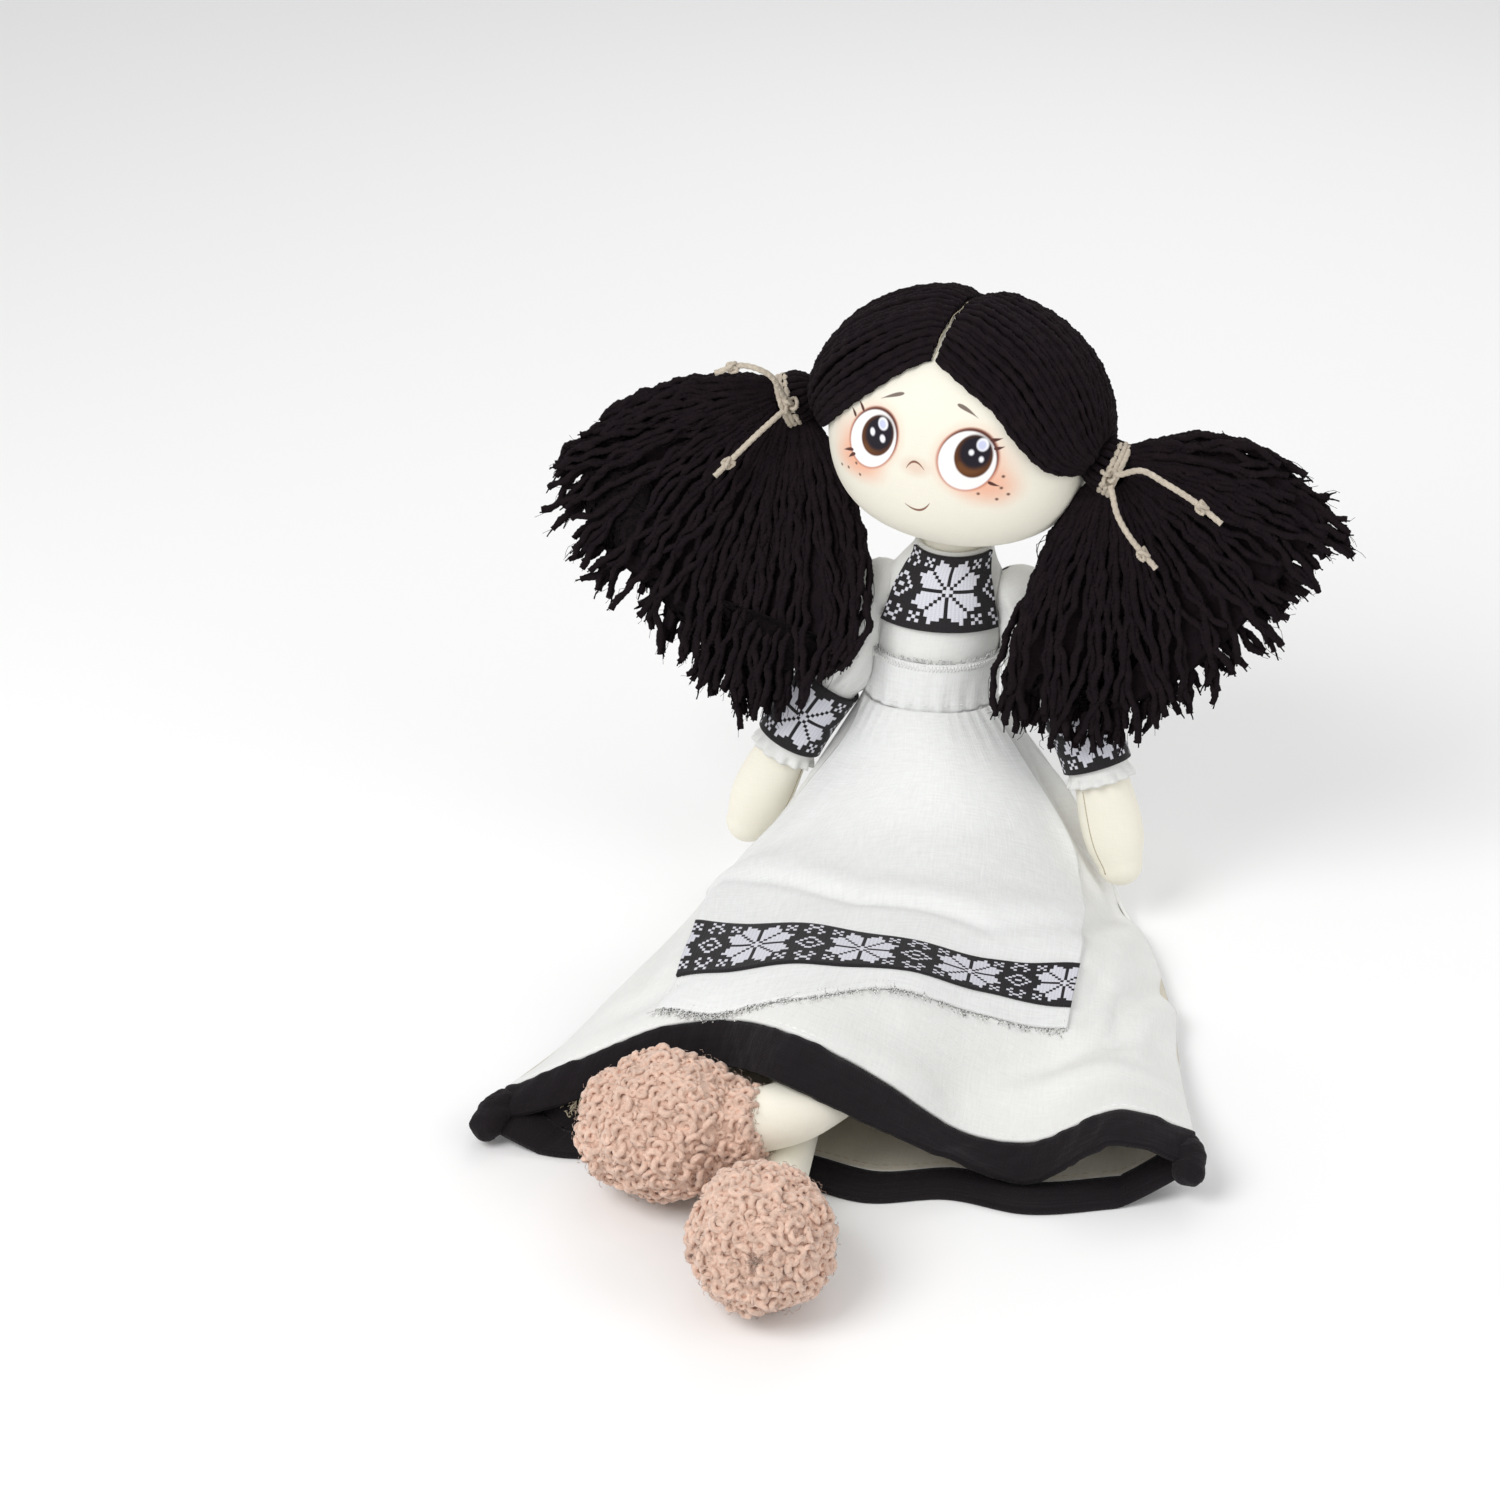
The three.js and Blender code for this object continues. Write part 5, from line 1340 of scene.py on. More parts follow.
def threads(name, lines, thickness, kind, body, step=1.3, lay=9.5, waist=0.7, corners=8, swell=None,
            instead=()):
    """Yarn or thread along lines in millimetres, fixed to its body where one is given."""
    rng = np.random.default_rng(len(lines) * 7 + len(name))
    phase = rng.uniform(0, 2 * math.pi, len(lines))
    extra = {"phase": [np.full(len(line), phase[k]) for k, line in enumerate(lines)],
             "swell": swell or [np.ones(len(line)) for line in lines]}
    piece = poly_lines(name, lines, extra)
    grown(piece, tree_of("yarn"), {
        "Thickness": thickness * MM, "Lay": lay * MM, "Step": step * MM, "Corners": corners,
        "Waist": waist, "Finish": finish(kind)})
    if body:
        place_on(piece, body, kind, instead)
    return piece


def solid(name, points, faces, kind, body, flat=None, instead=()):
    """A closed piece in one finish, fixed to its body."""
    return place_on(new_piece(name, points, faces, finish(kind), flat), body, kind, instead)


def stitches(name, lines, pitch, size, thickness, kind, body):
    piece = poly_lines(name, lines)
    grown(piece, tree_of("stitch"), {
        "Pitch": pitch * MM, "Stitch": size * MM, "Thickness": thickness * MM, "Finish": finish(kind)})
    return place_on(piece, body, kind)


def cloth(name, at, low, high, across, along, kind, body, span=(0, 1, 0, 1), lift=None, size=None,
          instead=(), other=None, finish_as=None):
    """A sheet of cloth over a surface, with flat coordinates for the size it was cut to."""
    points, faces, flat, size = sheet_mesh(at, low, high, across, along, span, lift, size)
    piece = new_piece(name, points, faces, finish_as or finish(kind), flat)
    if other:
        piece.data.materials.append(finish(other))
        count = across * along
        piece.data.polygons.foreach_set(
            "material_index", [1 if count <= k < 2 * count else 0 for k in range(len(faces))])
    place_on(piece, body, kind, instead)
    return piece


def surface_area(points, faces):
    p = np.asarray(points, float)
    total = 0.0
    for count in (3, 4):
        chosen = np.array([f for f in faces if len(f) == count], dtype=int)
        for k in range(1, count - 1):
            if len(chosen):
                a, b, c = p[chosen[:, 0]], p[chosen[:, k]], p[chosen[:, k + 1]]
                total += np.linalg.norm(np.cross(b - a, c - a), axis=1).sum() / 2
    return float(total)


def tube_of_cloth(name, points, faces, flat, kind, body, size, instead=(), finish_as=None):
    """A sewn tube of cloth, fixed to its body."""
    piece = new_piece(name, points, faces, finish_as or finish(kind), flat)
    place_on(piece, body, kind, instead)
    area = min(surface_area(points, faces) / 2, size[0] * size[1])
    size[0] * MM
    size[1] * MM
    area * MM * MM
    return piece


def near_line(p, line, width):
    """1 along a line on the floor plan, fading out over that width and towards its ends."""
    line = np.array(line, float)
    steps = np.linalg.norm(np.diff(line, axis=0), axis=1)
    reach = np.concatenate([[0], np.cumsum(steps)]) / steps.sum()
    nearest, where = np.full(len(p), 1e9), np.zeros(len(p))
    for k in range(len(line) - 1):
        run = line[k + 1] - line[k]
        t = np.clip((p[:, :2] - line[k]) @ run / (run @ run), 0, 1)
        away = np.linalg.norm(p[:, :2] - line[k] - t[:, None] * run, axis=1)
        closer = away < nearest
        nearest[closer] = away[closer]
        where[closer] = mix(reach[k], reach[k + 1], t)[closer]
    return np.exp(-(nearest / width) ** 2) * np.sin(np.pi * (0.10 + 0.80 * where)) ** 0.7


# folds of the skirt and apron on the floor plan: line, width, height
FOLDS = [
    (((36, -7), (44, -13), (53, -18), (61, -16)), 3.2, -2.2), (((41, -4), (51, -9), (59, -12)), 3, 1.5),
    (((44, -22), (56, -30), (66, -34)), 4, 1.4),
    (((72, -20), (68, -41), (61, -77)), 4.5, -2.0), (((78, -30), (75, -55), (68, -88)), 4.5, 1.6),
    (((92, -64), (78, -97), (75, -122)), 4.0, -2.3), (((96, -80), (84, -106), (82, -126)), 4.5, 1.9),
    (((88, -114), (58, -133), (40, -146), (25, -164)), 6.0, -1.7),
    (((94, -138), (56, -146), (36, -160)), 6.5, 1.5), (((60, -124), (36, -133), (13, -152)), 6.5, 1.2),
    (((-66, -70), (-13, -96), (29, -95), (59, -74)), 3.6, -1.5),
    (((-64, -60), (-14, -86), (28, -87), (58, -62)), 6.0, 0.8),
    (((-86, -148), (-74, -142), (-64, -134)), 7.0, -1.6), (((64, -114), (68, -97), (70, -77)), 4.0, -1.4),
    (((-2, -180), (14, -173), (30, -162)), 6.0, 1.2), (((-70, -76), (-76, -108), (-80, -130)), 5.0, -1.5),
    (((-60, -60), (-66, -100), (-70, -124)), 5.0, 1.2), (((-50, -20), (-62, -50), (-70, -74)), 5.0, 1.1)]


FOLD_GAIN = 1.35
FOLD_LIMITS = (-3.0, 2.9)


def dress_folds(u, v, p):
    """Small folds of the skirt and of all that lies on it, in millimetres."""
    raised = ripple(p, 5, 60, 2) * 0.5
    for line, width, height in FOLDS:
        raised = raised + FOLD_GAIN * height * near_line(p, line, width)
    angle = np.arctan2(p[:, 1] + 4, p[:, 0])
    waist = np.exp(-((p[:, 2] - WAIST) / 13) ** 2) * (0.05 + 0.95 * np.cos(angle) ** 2)
    raised = raised + waist * 0.28 * np.sin(angle * 34)
    return np.clip(raised, *FOLD_LIMITS)


def binding_folds(u, v, p):
    """The skirt's folds, with the crinkles of the binding."""
    return dress_folds(u, v, p) + ripple(p, 9, 8, 2) * 0.45


def clear_of_dress(points, side):
    """Points of an arm or sleeve kept outside the dressed body, except in the shoulder itself."""
    moved = keep_out_of_body(points, 2 * GAP + CLOTH, WAIST - 2 * CLOTH, BODICE_TOP)
    moved = keep_out_of_body(moved, 3 * GAP + CLOTH + TRIM, BAND_BOTTOM - 1, BAND_TOP + 1)
    inside = np.linalg.norm(points - SHOULDER[side], axis=1) < SLEEVE_DOME + 0.3 * GAP
    moved[inside] = points[inside]
    return moved


def on_limb(path, rows, side, s, q, grow=0.0):
    """Points on a limb at distances s and angles q."""
    half = table_at(rows, s) + grow
    place, tangent = path.at(s)
    across, up = across_and_up(tangent, side)
    return place + across * (half[:, 0] * np.cos(q))[:, None] + up * (half[:, -1] * np.sin(q))[:, None]


CAMERA_SIDE, CAMERA_RISE = math.radians(10), math.radians(30)
PHOTO_SIZE = 1500
SEAT_IN_PHOTO = (930, 868)    # pixel where the middle of the seat stands
FOCAL = 3151                  # focal length in pixels of the photograph
SENSOR = 36


class DOLL_OT_camera(bpy.types.Operator):
    """Makes the camera at the photograph's viewing angle"""
    bl_idname = "doll.camera"
    bl_label = "Camera"

    def execute(self, context):
        a, e = CAMERA_SIDE, CAMERA_RISE
        half = PHOTO_SIZE / 2
        back = Vector((math.sin(a) * math.cos(e), -math.cos(a) * math.cos(e), math.sin(e)))
        right = Vector((math.cos(a), math.sin(a), 0))
        up = Vector((-math.sin(a) * math.sin(e), math.cos(a) * math.sin(e), math.cos(e)))
        far = settings("studio").distance
        place = (far * back - (SEAT_IN_PHOTO[0] - half) / FOCAL * far * right
                 + (SEAT_IN_PHOTO[1] - half) / FOCAL * far * up)
        data = bpy.data.cameras.new("camera")
        data.sensor_width = SENSOR
        data.lens = SENSOR * FOCAL / PHOTO_SIZE
        data.clip_start, data.clip_end = 0.05, 20
        camera = bpy.data.objects.new("camera", data)
        bpy.context.scene.collection.objects.link(camera)
        turn = Matrix((right, up, back)).transposed().to_4x4()
        camera.matrix_world = Matrix.Translation(place) @ turn
        bpy.context.scene.camera = camera
        return {"FINISHED"}


KNOT_SHARES = {"left": (0.06, -1.208, 0.115), "right": (0, -1.208, 0.23)}
KNOT = {side: TIE[side] + np.array(KNOT_SHARES[side]) * WRAP_RADIUS for side in SIDES}
KNOT_RADIUS = 3
TAILS = {
    "left": {"a": [(68, -29, 178), (76, -31, 175), (86, -33, 170), (95, -35, 164)],
             "b": [(61, -30, 162), (66, -32.5, 155), (75, -35, 146)]},
    "right": {"a": [(-60, -2, 191), (-69, -3, 194), (-78, -4, 191)],
              "b": [(-64, -4, 169), (-71, -7.5, 162), (-77, -11, 156)]},
}


class DOLL_OT_tie_tails(bpy.types.Operator):
    """Lays the loose ends of twine that hang from the ties"""
    bl_idname = "doll.tie_tails"
    bl_label = "Loose ends of twine"

    def execute(self, context):
        for side in SIDES:
            for letter, free in TAILS[side].items():
                knot = KNOT[side]
                heading = unit(np.array(free[0]) - knot)
                start = knot + heading * (KNOT_RADIUS + GAP / 15)
                path = Path(np.vstack([start, start + heading * TWINE, free]))
                line, _ = path.at(np.linspace(0, path.length, 80))
                name = f"twine_end_{side}_{letter}"
                tail = threads(name, [line], TWINE, "twine", None, 0.8, 4.6, 0.86, 12)
                knot_s = 0.80 * path.length
                place, along = path.at(knot_s)
                end_knot = twine_knot(
                    f"twine_end_knot_{side}_{letter}", place[0], along[0], 1.75, f"pigtail_{side}")
                place_on(tail, f"pigtail_{side}", "twine", [f"tie_tail_{side}_{letter}"])
                tuple(start * MM)
                [tuple(p * MM) for p in line]
        return {"FINISHED"}


def twine_knot(name, place, along, radius, body):
    """A small overhand knot of twine."""
    t = np.linspace(0, 2 * math.pi, 60, endpoint=False)
    x = np.sin(t) + 2 * np.sin(2 * t)
    y = np.cos(t) - 2 * np.cos(2 * t)
    z = -np.sin(3 * t)
    along = unit(along)
    side = unit(np.cross(along, [0.1, 0.2, 1]))
    up = np.cross(side, along)
    loop = (np.outer(x, side) + np.outer(y, up)) / 3 * radius + np.outer(z, along) * radius * 0.9
    loop = np.vstack([loop, loop[:2]]) + place
    return threads(name, [loop], TWINE * 0.72, "twine", body, 0.7, 4.6, 0.85, 8)


class DOLL_OT_body(bpy.types.Operator):
    """Stuffs the body under the dress"""
    bl_idname = "doll.body"
    bl_label = "Body"

    def execute(self, context):
        source = bpy.data.objects["torso"]
        mesh = source.data.copy()
        piece = bpy.data.objects.new("stuffed_body", mesh)
        bpy.context.scene.collection.objects.link(piece)
        if max(abs(c) for corner in mesh.vertices for c in corner.co) > 1:
            raise RuntimeError("the torso isn't in metres")
        tight = piece.modifiers.new("tight", "WELD")
        tight.merge_threshold = 1e-6
        remesh = piece.modifiers.new("even", "REMESH")
        remesh.mode, remesh.voxel_size, remesh.use_smooth_shade = "VOXEL", 0.0013, True
        smooth = piece.modifiers.new("soft", "SMOOTH")
        smooth.factor, smooth.iterations = 0.5, 4
        bpy.context.view_layer.update()
        graph = bpy.context.evaluated_depsgraph_get()
        even = bpy.data.meshes.new_from_object(piece.evaluated_get(graph), depsgraph=graph)
        piece.modifiers.clear()
        piece.data = even
        even.materials.clear()
        even.materials.append(finish("skin"))
        even.polygons.foreach_set("material_index", [0] * len(even.polygons))
        even.update()
        place_on(piece, "dress_body", "skin", ["torso"])
        return {"FINISHED"}


class DOLL_OT_head(bpy.types.Operator):
    """Stuffs and paints the head"""
    bl_idname = "doll.head"
    bl_label = "Head"

    def execute(self, context):
        rise = np.radians(np.concatenate([[-89.4], np.linspace(-87, 87, 110), [89.4]]))
        turn = np.linspace(0, 2 * math.pi, 180, endpoint=False)
        rings = []
        for angle in rise:
            direction = np.stack([np.cos(turn) * np.cos(angle), np.sin(turn) * np.cos(angle),
                                  np.full_like(turn, np.sin(angle))], -1) * HEAD_HALF
            p = head_point(direction)
            p = p + unit(p - HEAD_CENTRE) * (ripple(p, 3, 42, 2) * 0.25)[:, None]
            away = np.hypot(p[:, 0] - NECK[0], p[:, 1] - NECK[1])
            ball = NECK_RADIUS + 1.3 * GAP
            top = NECK[2] + np.sqrt(np.maximum(0, ball ** 2 - away ** 2))
            cone = NECK[2] + NECK_RADIUS / 4 - 2 * (away - NECK_RADIUS)
            floor = np.where(away < ball, np.maximum(top, cone), cone)
            floor = np.where(away < 2 * NECK_RADIUS, floor, -1e3)
            p[:, 2] = np.where(p[:, 2] < HEAD_CENTRE[2], np.maximum(p[:, 2], floor), p[:, 2])
            for side in SIDES:
                p = keep_out_of_ball(p, TIE[side], ROOT_BALL + GAP)
            rings.append(p)
        points, faces, _ = skin(rings, None)
        piece = solid("stuffed_head", points, faces, "face", "head", instead=["head"])
        return {"FINISHED"}


def hair_edge(u, v):
    return np.minimum(1, 0.35 + 4 * np.minimum(u, 1 - u)) * np.minimum(1, 0.45 + 5 * v)


class DOLL_OT_hair(bpy.types.Operator):
    """Lays the yarn from the parting to the ties"""
    bl_idname = "doll.hair"
    bl_label = "Hair"

    def execute(self, context):
        look = settings("hair")
        thick = look.yarn / MM
        for side in SIDES:
            across, along = 60, 56
            v, u = (w.ravel() for w in np.meshgrid(
                np.linspace(0, 1, along + 1), np.linspace(0, 1, across + 1), indexing="ij"))
            inner = hair_layer(side, u, v, np.full((len(u), 1), 3 * GAP), np.full(len(u), 0.35 * TIE_NECK))
            raised = GAP + HAIR_THICK * (hair_edge(u, v) * 0.45)[:, None]
            outer = hair_layer(side, u, v, raised, np.full(len(u), 0.62 * TIE_NECK))
            points = np.vstack([inner, outer])
            faces = two_sheet_faces(across, along)
            solid(f"hair_base_{side}", points, face_out(faces, points), "hair", "head",
                  instead=[f"hair_cap_{side}"])
            rng = np.random.default_rng(31 + SIGN[side])
            lines, swell = [], []
            count = look.cap_strands
            for k in range(count):
                t = np.linspace(0.012, 0.965, 90)
                u0 = (k + 0.5 + rng.uniform(-0.22, 0.22)) / count
                u = np.clip(u0 + 0.25 / count * np.sin(t * 5 + rng.uniform(0, 6)), 0.004, 0.996)
                lower = 0.75 if k % 2 else 0.0
                deep = hair_edge(u, t)
                sunk = (thick / 2 + lower) * np.minimum(1, 0.4 + deep)[:, None]
                out = GAP + HAIR_THICK * deep[:, None] - sunk
                out = out + 0.35 * np.sin(t * 9 + rng.uniform(0, 6))[:, None]
                pinched = ease((t - 0.74) / 0.16)[:, None]
                out = mix(np.maximum(out, 0.5), GAP + HAIR_THICK * 0.3, pinched)
                radius = 0.38 * TIE_NECK - (0.6 if k % 3 == 1 else 0.0)
                lines.append(hair_layer(side, u, t, out, np.full(len(t), radius)))
                swell.append((1 - 0.45 * pinched[:, 0]) * rng.uniform(0.88, 1.08))
            threads(f"hair_strands_{side}", lines, thick, "hair", "head", 1.2, look.lay / MM, swell=swell)
        u = np.linspace(0.0, 0.30, 60)
        tilt = parting_angle(u)
        way = np.stack([np.zeros(60), np.cos(tilt), np.sin(tilt)], -1) * HEAD_HALF
        line = head_point(way, 1.5)
        line[:, 0] += 0.35 * np.sin(u * 60)
        threads("parting_thread", [line], 0.45, "seam thread", "head", 0.7, 2.4, 0.75, 6)
        return {"FINISHED"}


ROOT_STRANDS = 18


class DOLL_OT_pigtails(bpy.types.Operator):
    """Hangs the pigtails of loose yarn"""
    bl_idname = "doll.pigtails"
    bl_label = "Pigtails"

    def execute(self, context):
        look = settings("hair")
        thick, lay = look.yarn / MM, look.lay / MM
        for side in SIDES:
            body = f"pigtail_{side}"
            rng = np.random.default_rng(57 + SIGN[side])
            lines, swell = [], []
            count = look.fan_strands
            for k in range(count):
                layer = (k % 3) - 1
                clipped = layer < 0 and rng.uniform() < 0.45
                short = rng.uniform(0.68, 0.93) if clipped else rng.uniform(0.88, 1.0)
                t = np.linspace(0, short, 70)
                u0 = np.clip((k + rng.uniform(-0.9, 0.9)) / (count - 1), 0.01, 0.99)
                u = np.clip(u0 + 0.035 * np.sin(t * rng.uniform(3, 8) + rng.uniform(0, 6)) * t, 0, 1)
                p = fan_lock(side, u, t)
                wide = mix(TIE_NECK * 1.4, FAN_DEPTH, ease(t * 2.2)) * np.where(
                    t > 0.8, mix(1, 0.55, (t - 0.8) / 0.2), 1)
                edge = 0.2 + 0.8 * np.sqrt(np.maximum(0, 1 - (2 * u - 1) ** 4))
                p[:, 1] += (wide / 2 * edge - thick / 2 * 0.8) * (layer * 0.95 + rng.uniform(-0.12, 0.12))
                stray = np.stack([ripple(p + 50 * k, 90 + j, 45, 2) for j in range(3)], -1)
                kinks = np.stack([ripple(p + 70 * k, 80 + j, 11, 1) for j in range(3)], -1)
                shake = stray * (2.0 * t)[:, None] + kinks * (0.8 * np.minimum(1, 3 * t))[:, None]
                p = p + shake * [1, 0.4, 1]
                lines.append(p)
                uneven = np.interp(t, np.linspace(0, 1, 16), rng.uniform(0.84, 1.14, 16))
                swell.append((1 - 0.3 * ease(1 - t / 0.12) - 0.12 * (t > t[-1] - 0.02)) * uneven)
            threads(f"pigtail_yarn_{side}", lines, thick, "hair", body, 1.5, lay, 0.74, 7, swell, [body])
            wisps, thin = [], []
            for k in range(2 * count):
                line = lines[k % count]
                start = rng.uniform(0.15, 0.6) if k < count else 0.93
                loose = line[int(start * len(line)):]
                t = np.linspace(0, 1, len(loose))[:, None]
                wander = np.stack([ripple(loose + 30 * k, 60 + j, 16, 2) for j in range(3)], -1)
                onward = unit(line[-1] - line[-6]) * (t * rng.uniform(0.5, 3.0))
                wisps.append(loose + wander * (thick * 0.75 if k < count else 1.4 * t) * [1, 0.5, 1] + onward)
                thin.append(np.full(len(loose), 0.3 if k < count else 1.0) * (1 - 0.5 * t[:, 0]))
            threads(f"pigtail_wisps_{side}", wisps, 1.3, "hair", body, 2.2, lay, 0.9, 3, thin)
            axis, up, over = tie_frame(side)
            radius, rise = ROOT_BALL - thick / 2, np.linspace(0.12, 1.95, 24)
            gathered = [TIE[side] - np.outer(np.cos(rise), axis) * radius + np.outer(
                np.sin(rise), up * math.cos(q) + over * math.sin(q)) * radius
                for q in np.linspace(0, 2 * math.pi, ROOT_STRANDS, endpoint=False)]
            threads(f"pigtail_root_{side}", gathered, thick, "hair", body, 1.2, lay, 0.8)
            t, u = (w.ravel() for w in np.meshgrid(
                np.linspace(0.02, 0.84, 30), np.linspace(0.05, 0.95, 40), indexing="ij"))
            middle = fan_lock(side, u, t)
            inner = np.array([0, 1.7, 0]) * np.minimum(1, 14 * np.minimum(u - 0.03, 0.97 - u))[:, None]
            front, back = (middle - inner).reshape(30, 40, 3), (middle + inner).reshape(30, 40, 3)
            rings = np.concatenate([front, back[:, ::-1]], axis=1)
            points, faces, _ = skin(rings, None)
            solid(f"pigtail_core_{side}", points, faces, "hair", body)
        return {"FINISHED"}


class DOLL_OT_ties(bpy.types.Operator):
    """Winds the twine round both pigtails and knots it"""
    bl_idname = "doll.ties"
    bl_label = "Twine ties"

    def execute(self, context):
        for side in SIDES:
            axis, up, over = tie_frame(side)
            q = np.linspace(0, 2 * math.pi * 2.6, 140)
            slide = np.linspace(-TWINE * 0.95, TWINE * 0.95, 140)
            ring = (TIE[side] + axis * TWINE + np.outer(np.cos(q), up) * WRAP_RADIUS
                    + np.outer(np.sin(q), over) * WRAP_RADIUS + np.outer(slide, axis))
            body = f"pigtail_{side}"
            threads(f"twine_wraps_{side}", [ring], TWINE, "twine", body, 0.9, 4.6, 0.85, 10,
                    instead=[f"tie_{side}"])
            twine_knot(f"twine_knot_{side}", KNOT[side], over, 2.6, body)
        return {"FINISHED"}


def body_wrap(z0, z1, out, thick, folds=0.0, rows=40, around=160):
    """Points, faces and flat size of a band of cloth round the body."""
    z = np.linspace(z0, z1, rows)
    q = np.linspace(0, 2 * math.pi, around, endpoint=False)
    grid_z, grid_q = np.meshgrid(z, q, indexing="ij")
    walls = []
    for inward in (0, thick):
        p = body_point(grid_z.ravel(), grid_q.ravel(), out - inward)
        if folds:
            low = np.exp(-((grid_z.ravel() - z0) / 10) ** 2)
            grow = folds * (low * np.sin(grid_q.ravel() * 22) + 0.6 * ripple(p, 8, 26, 2))
            p = body_point(grid_z.ravel(), grid_q.ravel(), out - inward + grow)
        for side in SIDES:
            p = keep_out_of_ball(p, SHOULDER[side], SLEEVE_DOME + 1.5 * GAP + inward * 0.4)
        walls.append(p.reshape(rows, around, 3))
    rings = np.concatenate([walls[0], walls[1][::-1]])
    points = rings.reshape(-1, 3)
    faces = ring_faces(len(rings), around)
    girth = float(np.linalg.norm(np.diff(walls[0][rows // 2], axis=0), axis=1).sum())
    flat = np.stack([grid_q.ravel() / (2 * math.pi) * girth, grid_z.ravel() - z0], -1)
    back = flat.reshape(rows, around, 2)[::-1].reshape(-1, 2)
    return points, face_out(faces, points), np.vstack([flat, back]), (girth, z1 - z0)


WAIST_FRAYS = 230
ZIGZAG_TURNS = 120
CHEST_RIBBON_LENGTH = 38.5
APRON_RIBBON_LENGTH = 137.4
FRINGE_THREADS = 300
FUZZ_THREADS = 900


class DOLL_OT_bodice(bpy.types.Operator):
    """Sews the bodice, its star ribbon and the waistband"""
    bl_idname = "doll.bodice"
    bl_label = "Bodice and waistband"

    def execute(self, context):
        points, faces, flat, size = body_wrap(BAND_BOTTOM, BODICE_TOP, GAP + CLOTH, CLOTH, 0.35)
        tube_of_cloth("bodice_cloth", points, faces, flat, "dress", "dress_body", size,
                      ["bodice"])
        q = np.linspace(0, 2 * math.pi, 120)
        collar = body_point(BODICE_TOP - 0.6, q, GAP + CLOTH * 0.5)
        threads("collar_roll", [collar], 1.8, "white thread", "dress_body", 0.9, 3.2, 0.88, 8)
        count = 2 * ZIGZAG_TURNS
        zigzag = body_point(BAND_TOP - 1.4 + 1.1 * np.where(np.arange(count) % 2, 1, -1),
                            np.linspace(0, 2 * math.pi, count), 2 * GAP + CLOTH + TRIM + 0.12)
        threads("waist_zigzag", [zigzag], 0.55, "white thread", "dress_body", 0.5, 2.0, 0.9, 5)
        rng = np.random.default_rng(12)
        loose = []
        for k in range(WAIST_FRAYS):
            q = 2 * math.pi * (k + rng.uniform(-0.4, 0.4)) / WAIST_FRAYS
            z = BAND_TOP - 0.4 + np.linspace(0, rng.uniform(1.0, 2.6), 4)
            loose.append(body_point(z, q + np.linspace(0, rng.uniform(-0.03, 0.03), 4),
                                    2 * GAP + CLOTH + TRIM * 0.5 + np.linspace(0, rng.uniform(-0.2, 0.5), 4)))
        threads("waist_fray", loose, 0.42, "white thread", "dress_body", 0.8, 2.0, 1.0, 6)
        seam = body_point(BAND_BOTTOM + 2.2, np.linspace(0, 2 * math.pi, 160), 2 * GAP + CLOTH + TRIM)
        stitches("waist_stitches", [seam], 2.6, 1.9, 0.42, "white thread", "dress_body")
        points, faces, flat, size = body_wrap(
            BAND_BOTTOM - 1.2, BAND_TOP, 2 * GAP + CLOTH + TRIM, TRIM, 0.3, 24, 200)
        tube_of_cloth("waistband_cloth", points, faces, flat, "apron", "dress_body", size,
                      ["apron_waistband"])
        star = ribbon_finish("Chest ribbon", CHEST_STAR)
        cloth("chest_star_ribbon", chest_at, 0, TRIM, 90, 40, "ribbon", "dress_body",
              size=(CHEST_RIBBON_LENGTH, WOVEN_WIDTH),
              instead=["chest_ribbon"], finish_as=star)
        return {"FINISHED"}


TURNED_IN = 0.24
LINING_FRAYS = 34


